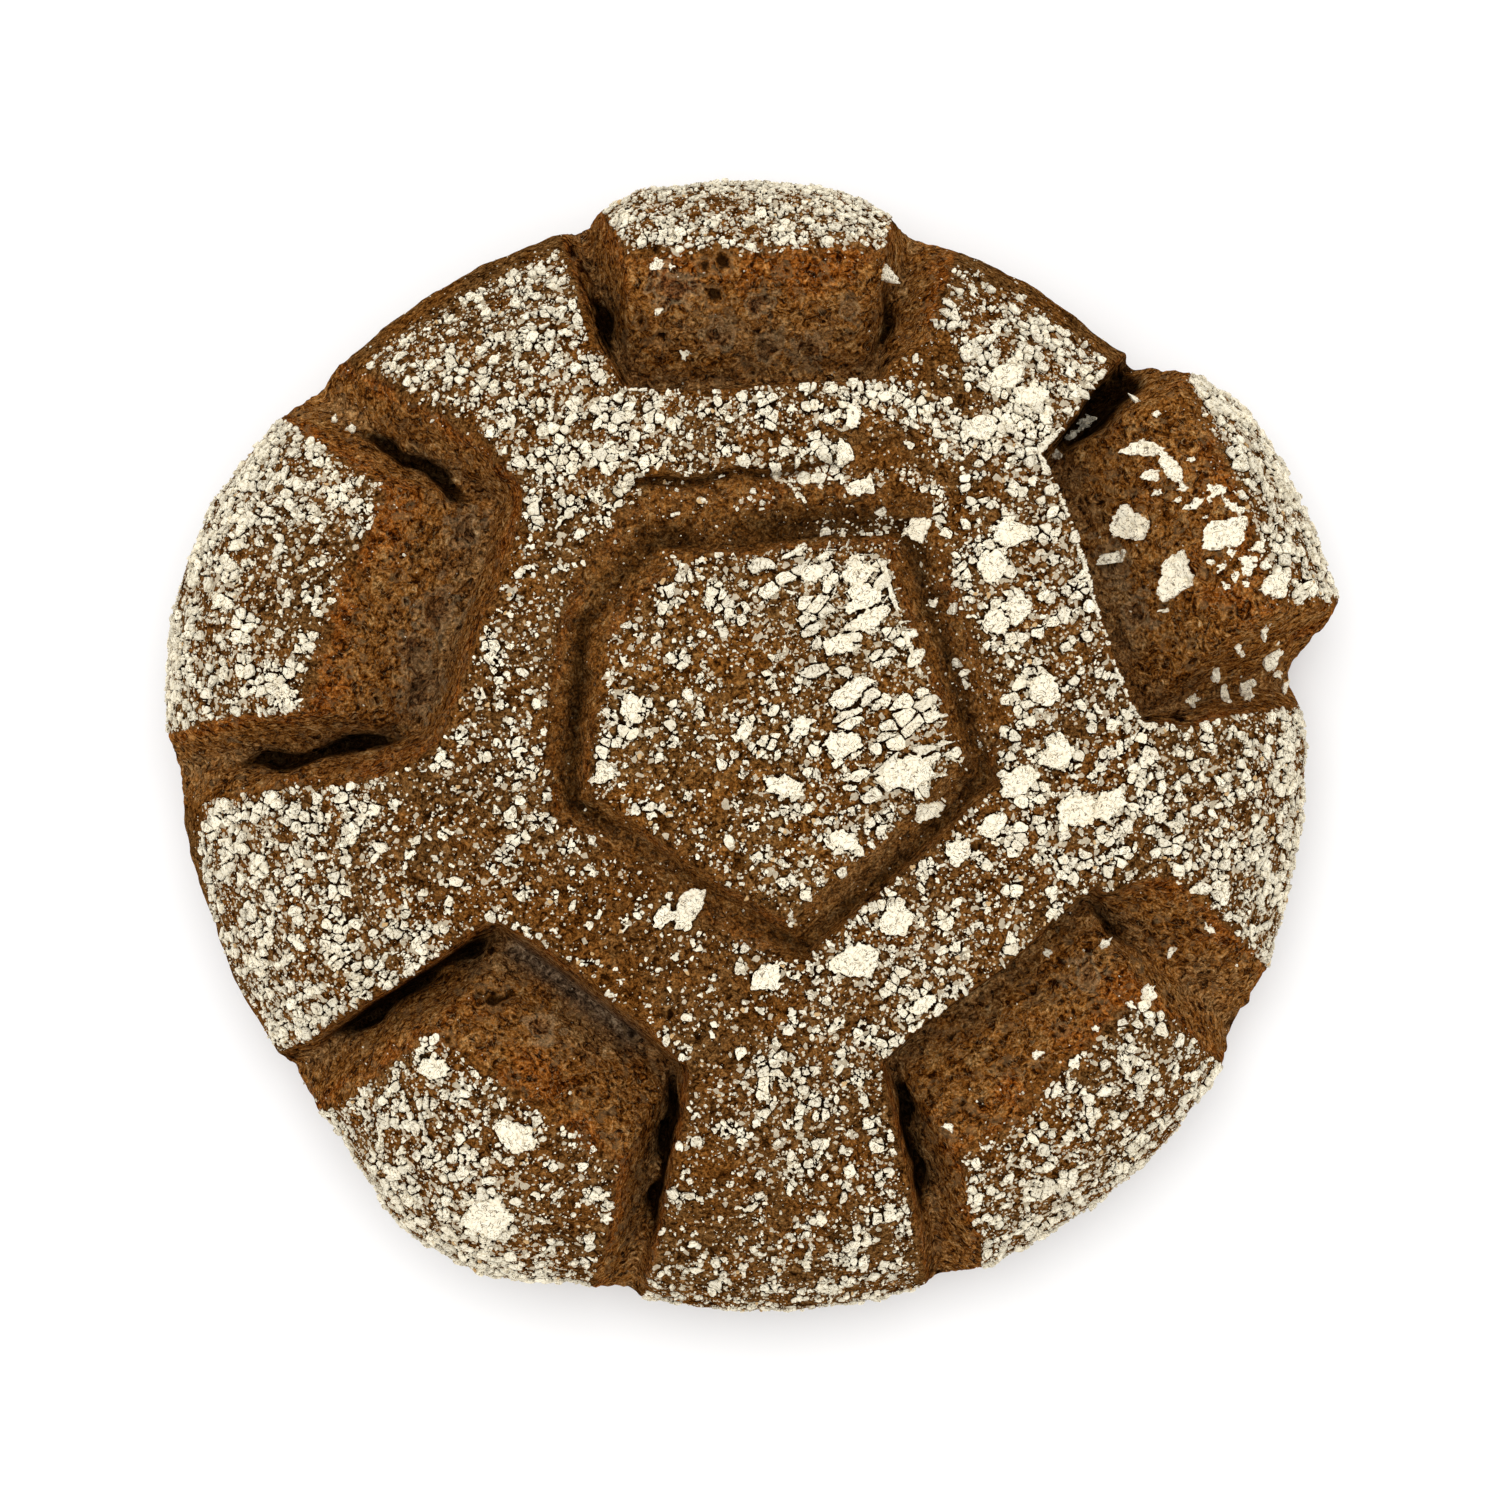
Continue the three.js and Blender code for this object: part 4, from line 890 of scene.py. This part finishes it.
def make_flakes():
    i, j, cols, u, v, full, height, shade = FLOUR
    # the part of each small triangle where the field is over 0
    even = (i[:-1, :-1] % 2 == 0)[..., None]
    v00 = i[:-1, :-1] * cols + j[:-1, :-1]
    v01, v10, v11 = v00 + 1, v00 + cols, v00 + cols + 1
    t1 = np.where(even, np.stack([v00, v01, v10], -1), np.stack([v00, v11, v10], -1)).reshape(-1, 3)
    t2 = np.where(even, np.stack([v01, v11, v10], -1), np.stack([v00, v01, v11], -1)).reshape(-1, 3)
    tri = np.concatenate([t1, t2])
    inside = full[tri] > 0
    k = inside.sum(axis=1)
    used = full > 0
    new_id = np.full(len(full), -1)
    new_id[used] = np.arange(used.sum())

    def turned(t, first):
        r = np.arange(len(t))
        return np.stack([t[r, first], t[r, (first + 1) % 3], t[r, (first + 2) % 3]], axis=1)

    one = turned(tri[k == 1], inside[k == 1].argmax(axis=1))
    two = turned(tri[k == 2], (~inside[k == 2]).argmax(axis=1))
    pairs = np.concatenate([one[:, [0, 1]], one[:, [0, 2]], two[:, [1, 0]], two[:, [2, 0]]])
    uniq, inverse = np.unique(pairs[:, 0] * len(full) + pairs[:, 1], return_inverse=True)
    pa, pb = uniq // len(full), uniq % len(full)
    t = np.clip(full[pa] / (full[pa] - full[pb]), 0.15, 0.85)
    cross = int(used.sum()) + inverse
    n1, n2 = len(one), len(two)
    c01, c02 = cross[:n1], cross[n1:2 * n1]
    c10, c20 = cross[2 * n1:2 * n1 + n2], cross[2 * n1 + n2:]
    tops = np.concatenate([new_id[tri[k == 3]], np.stack([new_id[one[:, 0]], c01, c02], 1),
                           np.stack([c10, new_id[two[:, 1]], new_id[two[:, 2]]], 1),
                           np.stack([c10, new_id[two[:, 2]], c20], 1)])
    rims = np.concatenate([np.stack([c01, c02], 1), np.stack([c20, c10], 1)])
    fu = np.concatenate([u[used], lerp(u[pa], u[pb], t)])
    fv = np.concatenate([v[used], lerp(v[pa], v[pb], t)])
    ff = np.concatenate([full[used], np.zeros(len(uniq))])
    fh = np.concatenate([height[used], height[pa]])
    tone = np.concatenate([shade[used], shade[pa]])

    # which points hang together
    label = np.arange(len(fu))
    ea, eb = tops[:, [0, 1, 2]].T.ravel(), tops[:, [1, 2, 0]].T.ravel()
    for _ in range(300):
        low = np.minimum(label[ea], label[eb])
        new = label.copy()
        np.minimum.at(new, ea, low)
        np.minimum.at(new, eb, low)
        new = new[new][new[new]]
        if (new == label).all():
            break
        label = new

    ground = look_up(fu, fv, FORM[1])
    normal = look_up(fu, fv, FORM[2])
    normal /= np.maximum(np.linalg.norm(normal, axis=1, keepdims=True), 1e-9)
    area = 0.5 * np.linalg.norm(np.cross(ground[tops[:, 1]] - ground[tops[:, 0]],
                                         ground[tops[:, 2]] - ground[tops[:, 0]]), axis=1)
    patch = np.bincount(label[tops[:, 0]], area, len(fu))[label]
    thick = fh * (0.84 + 0.16 * ease(ff / 0.10)) + 0.05 * noise2(fu / 0.55, fv / 0.55, 61)
    top = ground + normal * np.maximum(thick, 0.06)[:, None]
    foot = ground - normal * 0.12
    tone = np.where(patch > 1.5, np.maximum(tone, 0.25), tone)

    # three pieces with about as many triangles each: crumbs, flakes and plates
    sizes = np.sort(np.concatenate([patch[tops[:, 0]], patch[rims[:, 0]], patch[rims[:, 0]]]))
    sizes = sizes[sizes >= 0.03]
    third, two_thirds = float(sizes[len(sizes) // 3]), float(sizes[2 * len(sizes) // 3])
    print("flour sizes", third, two_thirds)

    pieces = []
    for name, lo, hi in (("flour_crumbs", 0.03, third), ("flour_flakes", third, two_thirds), ("flour_plates", two_thirds, 1e9)):
        in_t = (patch[tops[:, 0]] >= lo) & (patch[tops[:, 0]] < hi)
        in_e = (patch[rims[:, 0]] >= lo) & (patch[rims[:, 0]] < hi)
        tt, ee = tops[in_t], rims[in_e]
        ids, low_ids = np.unique(tt), np.unique(ee)
        back = np.full(len(fu), -1)
        back[ids] = np.arange(len(ids))
        back_low = np.full(len(fu), -1)
        back_low[low_ids] = len(ids) + np.arange(len(low_ids))
        skirts = np.concatenate([np.stack([back[ee[:, 1]], back[ee[:, 0]], back_low[ee[:, 0]]], 1),
                                 np.stack([back[ee[:, 1]], back_low[ee[:, 0]], back_low[ee[:, 1]]], 1)])
        faces = np.concatenate([back[tt], skirts])
        obj = make_mesh(name, np.concatenate([top[ids], foot[low_ids]]), faces, smooth=False)
        add_attribute(obj, "shade", np.concatenate([tone[ids], tone[low_ids]]))
        before = len(faces)
        if before > 192000:
            mod = obj.modifiers.new("thin", "DECIMATE")
            mod.ratio = 192000 / before
            graph = bpy.context.evaluated_depsgraph_get()
            thin = bpy.data.meshes.new_from_object(obj.evaluated_get(graph))
            obj.modifiers.clear()
            old = obj.data
            obj.data = thin
            bpy.data.meshes.remove(old)
            thin.name = name
        print(name, before, "triangles made,", len(obj.data.polygons), "kept")
        pieces.append(obj)
    return pieces


def make_specks():
    """Single specks of flour, thicker on the floured ground."""
    rng = np.random.default_rng(130)
    n = 220000
    way = (WAY_RIM + 10) * np.sqrt(rng.uniform(0, 1, n))
    turn = rng.uniform(0, 2 * math.pi, n)
    u, v = way * np.cos(turn), way * np.sin(turn)
    f = look_up(u, v, FORM[3])
    clump = 0.35 + 1.1 * ease(noise2(u / 4.0, v / 4.0, 88) + 0.5)
    chance = (0.015 + 0.38 * f[:, COVERED] ** 0.8 + 0.01 * f[:, BARE]) * clump
    chance = np.where(f[:, TORN] > 0.5, 0.004 + 0.035 * ease((0.3 - f[:, HOLLOW_SHADE]) / 0.3), chance) * (1 - f[:, SIDE] * (f[:, COVERED] < 0.02)) * (f[:, STEEP] < 0.3)
    keep = rng.uniform(0, 1, n) < chance
    u, v = u[keep][:36000], v[keep][:36000]
    n = len(u)
    corners = 5
    size = np.clip(np.exp(rng.normal(math.log(0.15), 0.45, n)), 0.07, 0.45)
    angle = (np.arange(corners) + rng.uniform(0, 1, (n, 1)) + rng.uniform(-0.3, 0.3, (n, corners))) * 2 * math.pi / corners
    reach = size[:, None] * rng.uniform(0.6, 1.3, (n, corners))
    uu = np.concatenate([u[:, None], u[:, None] + reach * np.cos(angle)], axis=1).ravel()
    vv = np.concatenate([v[:, None], v[:, None] + reach * np.sin(angle)], axis=1).ravel()
    hh = np.concatenate([(0.05 + 0.7 * size * rng.uniform(0.6, 1.2, n))[:, None], np.full((n, corners), -0.06)], axis=1).ravel()
    m = np.arange(corners)
    tris = np.stack([np.zeros(corners, int), 1 + m, 1 + (m + 1) % corners], 1)
    tris = (tris[None] + (np.arange(n) * (corners + 1))[:, None, None]).reshape(-1, 3)
    normal = look_up(uu, vv, FORM[2])
    normal /= np.maximum(np.linalg.norm(normal, axis=1, keepdims=True), 1e-9)
    obj = make_mesh("flour_specks", look_up(uu, vv, FORM[1]) + normal * hh[:, None], tris, smooth=False)
    add_attribute(obj, "shade", np.repeat(rng.uniform(0, 1, n), corners + 1))
    print("flour_specks", len(obj.data.polygons), "triangles")
    return obj


# ---------------------------------------------------------------------------
# Materials
# ---------------------------------------------------------------------------
class Nodes:
    """Short words for building a material's nodes."""

    def __init__(self, name):
        self.mat = bpy.data.materials.new(name)
        self.mat.use_nodes = True
        self.tree = self.mat.node_tree
        self.bsdf = self.tree.nodes["Principled BSDF"]

    def add(self, kind, **values):
        node = self.tree.nodes.new(kind)
        for key, value in values.items():
            setattr(node, key, value)
        return node

    def link(self, a, b):
        self.tree.links.new(a, b)

    def put(self, socket, value):
        if isinstance(value, bpy.types.NodeSocket):
            self.link(value, socket)
        else:
            socket.default_value = value

    def where(self):
        return self.add("ShaderNodeTexCoord").outputs["Object"]

    def noise(self, scale, detail=3.0, rough=0.55, warp=0.0):
        n = self.add("ShaderNodeTexNoise")
        n.inputs["Scale"].default_value = scale
        n.inputs["Detail"].default_value = detail
        n.inputs["Roughness"].default_value = rough
        n.inputs["Distortion"].default_value = warp
        self.link(self.where(), n.inputs["Vector"])
        return n.outputs["Fac"]

    def cells(self, scale):
        """Random value of each cell, and the distance from its middle."""
        n = self.add("ShaderNodeTexVoronoi", feature="F1")
        n.inputs["Scale"].default_value = scale
        self.link(self.where(), n.inputs["Vector"])
        split = self.add("ShaderNodeSeparateColor")
        self.link(n.outputs["Color"], split.inputs[0])
        return split.outputs[0], n.outputs["Distance"]

    def math(self, op, a, b=0.0, clamp=False):
        n = self.add("ShaderNodeMath", operation=op, use_clamp=clamp)
        self.put(n.inputs[0], a)
        self.put(n.inputs[1], b)
        return n.outputs[0]

    def span(self, value, a, b, c=0.0, d=1.0):
        n = self.add("ShaderNodeMapRange", interpolation_type="SMOOTHSTEP")
        self.put(n.inputs["Value"], value)
        for key, x in (("From Min", a), ("From Max", b), ("To Min", c), ("To Max", d)):
            self.put(n.inputs[key], x)
        return n.outputs["Result"]

    def mix(self, share, a, b, blend="MIX"):
        n = self.add("ShaderNodeMix", data_type="RGBA", blend_type=blend)
        self.put(n.inputs[0], share)
        self.put(n.inputs[6], a)
        self.put(n.inputs[7], b)
        return n.outputs[2]

    def ramp(self, value, stops):
        n = self.add("ShaderNodeValToRGB")
        ramp = n.color_ramp
        while len(ramp.elements) < len(stops):
            ramp.elements.new(0.5)
        for e, (pos, colour) in zip(ramp.elements, stops):
            e.position = pos
            e.color = (*colour, 1.0)
        self.link(value, n.inputs["Fac"])
        return n.outputs["Color"]

    def scale(self, colour, factor):
        n = self.add("ShaderNodeVectorMath", operation="SCALE")
        self.link(colour, n.inputs[0])
        self.put(n.inputs["Scale"], factor)
        return n.outputs[0]

    def attr(self, name):
        return self.add("ShaderNodeAttribute", attribute_name=name).outputs["Fac"]

    def bump(self, height, strength, distance, before=None):
        n = self.add("ShaderNodeBump")
        n.inputs["Strength"].default_value = strength
        n.inputs["Distance"].default_value = distance
        self.link(height, n.inputs["Height"])
        if before is not None:
            self.link(before, n.inputs["Normal"])
        return n.outputs["Normal"]


def crust_material():
    m = Nodes("crust")
    torn, hollow_shade, dust, pore = m.attr("torn"), m.attr("hollow_shade"), m.attr("dust"), m.attr("pore")
    bare, side, near = m.attr("bare"), m.attr("side"), m.attr("near")
    broad = m.noise(95, 4, 0.6, 0.5)
    patch = m.noise(310, 4, 0.62, 0.6)
    grain = m.noise(900, 5, 0.74, 0.9)
    fine = m.noise(2300, 3, 0.65, 0.3)
    # skin of the crust: tan to dark brown, in patches and grains, with painted shade between thick flour
    skin = m.ramp(grain, ((0.405, (0.018, 0.0064, 0.0012)), (0.46, (0.100, 0.0400, 0.0088)), (0.55, (0.190, 0.0880, 0.0245)),
                          (0.68, (0.310, 0.170, 0.064))))
    skin = m.mix(m.span(broad, 0.40, 0.64), skin, (1.12, 0.92, 0.62, 1.0), "MULTIPLY")
    skin = m.mix(m.span(patch, 0.50, 0.70), skin, (0.40, 0.36, 0.30, 1.0), "MULTIPLY")
    skin = m.mix(m.math("MULTIPLY", side, 0.5), skin, (0.200, 0.108, 0.042, 1.0))
    # painted shade in the narrow gaps between flakes of flour
    skin = m.scale(skin, m.span(near, 0.12, 0.42, 1.0, 0.10))
    skin = m.mix(m.span(m.attr("isle"), 2.0, 8.0), skin, (1.14, 1.16, 1.12, 1.0), "MULTIPLY")
    # torn faces: rust at the top, tan crumb in the middle, painted shade of grey-brown deep in the grooves
    crumb = m.noise(620, 6, 0.70, 1.3)
    tear = m.ramp(crumb, ((0.40, (0.016, 0.0040, 0.0005)), (0.46, (0.120, 0.0370, 0.0050)), (0.53, (0.250, 0.0900, 0.0145)),
                          (0.62, (0.415, 0.197, 0.054)), (0.76, (0.610, 0.385, 0.170))))
    down = m.math("ADD", hollow_shade, m.span(broad, 0.30, 0.70, -0.30, 0.30))
    tear = m.mix(m.span(down, 0.40, 0.00), tear, (0.99, 0.76, 0.52, 1.0), "MULTIPLY")
    tear = m.mix(m.span(patch, 0.50, 0.70), tear, (1.25, 1.55, 2.2, 1.0), "MULTIPLY")
    tear = m.mix(m.span(patch, 0.46, 0.30), tear, (0.55, 0.48, 0.42, 1.0), "MULTIPLY")
    # painted shade: grey-brown crumb low in the grooves, where the walls shade it
    deep = m.ramp(crumb, ((0.39, (0.016, 0.0070, 0.0022)), (0.50, (0.180, 0.104, 0.040)), (0.66, (0.480, 0.330, 0.170))))
    tear = m.mix(m.span(down, 0.60, 1.10, 0.0, 0.35), tear, deep)
    # painted light: the lowest part of the torn faces is lightened a little, against the shade that falls there
    tear = m.mix(m.span(hollow_shade, 0.45, 0.85), tear, (1.16, 1.16, 1.14, 1.0), "MULTIPLY")
    # thin pale strands of crumb
    strand = m.span(m.math("ABSOLUTE", m.math("SUBTRACT", m.noise(430, 2, 0.55, 1.6), 0.5)), 0.004, 0.022, 0.45, 0.0)
    tear = m.mix(strand, tear, (0.40, 0.255, 0.115, 1.0))
    pale = m.ramp(crumb, ((0.38, (0.022, 0.0135, 0.0075)), (0.50, (0.135, 0.094, 0.060)), (0.64, (0.310, 0.240, 0.165))))
    tear = m.mix(m.math("MULTIPLY", m.attr("wan"), 0.8), tear, pale)
    colour = m.mix(torn, skin, tear)
    colour = m.mix(m.math("MULTIPLY", bare, 0.65), colour, tear)
    bubble = m.attr("grey")
    colour = m.mix(m.span(bubble, 0.25, 0.8, 0.0, 0.8), colour, (0.68, 0.68, 0.70, 1.0), "MULTIPLY")
    colour = m.mix(m.math("MULTIPLY", m.span(bubble, 0.02, 0.18), m.span(bubble, 0.25, 0.45, 0.40, 0.0)), colour, (0.400, 0.270, 0.135, 1.0))
    colour = m.scale(colour, m.span(fine, 0.28, 0.72, 0.28, 1.52))
    # small pits, and pores with a paler lip, their insides darkened with painted shade
    chance, middle = m.cells(520)
    pit = m.math("MULTIPLY", m.span(middle, 0.11, 0.29, 1.0, 0.0), m.span(chance, 0.42, 0.46, 1.0, 0.0))
    pit = m.math("MULTIPLY", pit, m.span(torn, 0.0, 1.0, 0.70, 0.9))
    # painted shade: each small pit is a near-black dot, the shade inside a hole that the mesh does not have
    colour = m.mix(pit, colour, (0.012, 0.0032, 0.0005, 1.0))
    lip = m.math("MULTIPLY", m.span(pore, 0.02, 0.16), m.span(pore, 0.22, 0.42, 0.35, 0.0))
    colour = m.mix(lip, colour, (0.28, 0.165, 0.07, 1.0))
    # painted shade inside the pores
    colour = m.mix(m.span(pore, 0.35, 0.8, 0.0, 0.9), colour, (0.009, 0.0030, 0.0006, 1.0))
    # painted shade down the island's groove
    colour = m.scale(colour, m.span(m.attr("sunk_shade"), 0.0, 1.0, 1.0, 0.30))
    # painted shade in the narrow tears
    colour = m.scale(colour, m.span(m.attr("slit_shade"), 0.10, 0.75, 1.0, 0.10))
    # the finest flour: thin scales and dust too small to stand up
    film = m.math("ADD", m.math("MULTIPLY", dust, 0.75), m.math("MULTIPLY", near, 0.25))
    film = m.math("MULTIPLY", film, m.span(near, 0.30, 0.60, 1.0, 0.30))
    chance, middle = m.cells(1250)
    thin = m.math("LESS_THAN", chance, m.span(film, 0.02, 0.80, 0.0, 0.24))
    chance, middle = m.cells(2700)
    dots = m.math("LESS_THAN", chance, m.span(film, 0.0, 0.80, 0.0, 0.20))
    share = m.math("MAXIMUM", m.math("MULTIPLY", thin, 0.75), m.math("MULTIPLY", dots, 0.9))
    colour = m.mix(share, colour, (0.70, 0.60, 0.43, 1.0))
    m.link(colour, m.bsdf.inputs["Base Color"])
    m.link(m.span(grain, 0.3, 0.7, 0.70, 0.95), m.bsdf.inputs["Roughness"])
    m.bsdf.inputs["Specular IOR Level"].default_value = 0.0
    n = m.bump(patch, 0.6, 0.0014)
    n = m.bump(grain, 0.9, 0.0008, n)
    m.link(n, m.bsdf.inputs["Normal"])
    return m.mat


def flour_material():
    m = Nodes("flour")
    shade = m.attr("shade")
    broad = m.noise(160, 3, 0.6)
    grain = m.noise(1900, 4, 0.72)
    colour = m.ramp(grain, ((0.30, (0.42, 0.330, 0.205)), (0.42, (0.80, 0.705, 0.520)), (0.56, (0.94, 0.87, 0.690))))
    colour = m.mix(m.span(broad, 0.45, 0.75, 0.0, 0.25), colour, (0.80, 0.67, 0.43, 1.0))
    colour = m.scale(colour, m.span(shade, 0.0, 1.0, 0.72, 1.02))
    # hair cracks
    crack = m.span(m.math("ABSOLUTE", m.math("SUBTRACT", m.noise(860, 2, 0.6, 0.6), 0.5)), 0.006, 0.026, 0.85, 0.0)
    colour = m.mix(crack, colour, (0.075, 0.040, 0.015, 1.0))
    # a few crumbs are toasted
    colour = m.mix(m.span(shade, 0.05, 0.035, 0.0, 0.8), colour, (0.52, 0.30, 0.10, 1.0))
    m.link(colour, m.bsdf.inputs["Base Color"])
    m.link(m.span(grain, 0.3, 0.7, 0.85, 1.0), m.bsdf.inputs["Roughness"])
    m.bsdf.inputs["Specular IOR Level"].default_value = 0.1
    m.link(m.bump(grain, 0.6, 0.00025), m.bsdf.inputs["Normal"])
    return m.mat


FLOUR = flour_layer()
crust = make_crust()
crust.data.materials.append(crust_material())
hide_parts("loaf")
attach(crust, "root")

flour_look = flour_material()
for piece in make_flakes() + [make_specks()]:
    piece.data.materials.append(flour_look)
    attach(piece, "root")

# ---------------------------------------------------------------------------
# Floor, light and camera
# ---------------------------------------------------------------------------
scene = bpy.context.scene
bpy.ops.mesh.primitive_plane_add(size=6.0, location=(0, 0, -0.0002))
floor = bpy.context.object
floor.name = "floor"
paper = Nodes("floor")
paper.bsdf.inputs["Base Color"].default_value = (0.95, 0.95, 0.95, 1.0)
paper.bsdf.inputs["Roughness"].default_value = 0.9
paper.bsdf.inputs["Specular IOR Level"].default_value = 0.0
floor.data.materials.append(paper.mat)

world = bpy.data.worlds.new("studio")
scene.world = world
world.use_nodes = True
world.node_tree.nodes["Background"].inputs["Color"].default_value = (1.0, 1.0, 1.0, 1.0)
world.node_tree.nodes["Background"].inputs["Strength"].default_value = 1.0


def softbox(name, spot, target, size, power):
    data = bpy.data.lights.new(name, "AREA")
    data.shape = "DISK"
    data.size = size
    data.energy = power
    obj = bpy.data.objects.new(name, data)
    scene.collection.objects.link(obj)
    obj.location = spot
    obj.rotation_euler = (Vector(target) - Vector(spot)).to_track_quat("-Z", "Y").to_euler()
    return obj


softbox("key", (-0.10, 0.35, 1.9), (0, 0, 0.02), 1.3, 15.0)

cam_data = bpy.data.cameras.new("camera")
cam_data.sensor_width = 36.0
cam_data.lens = 18.0 / (125.0 / 675.0)
cam = bpy.data.objects.new("camera", cam_data)
scene.collection.objects.link(cam)
cam.location = ((0.42 + SHIFT_X) * MM, (-0.08 + SHIFT_Y) * MM, 0.700)
cam.rotation_euler = (0.0, 0.0, 0.0)
cam_data.clip_end = 20.0
scene.camera = cam
scene.view_settings.view_transform = "Standard"
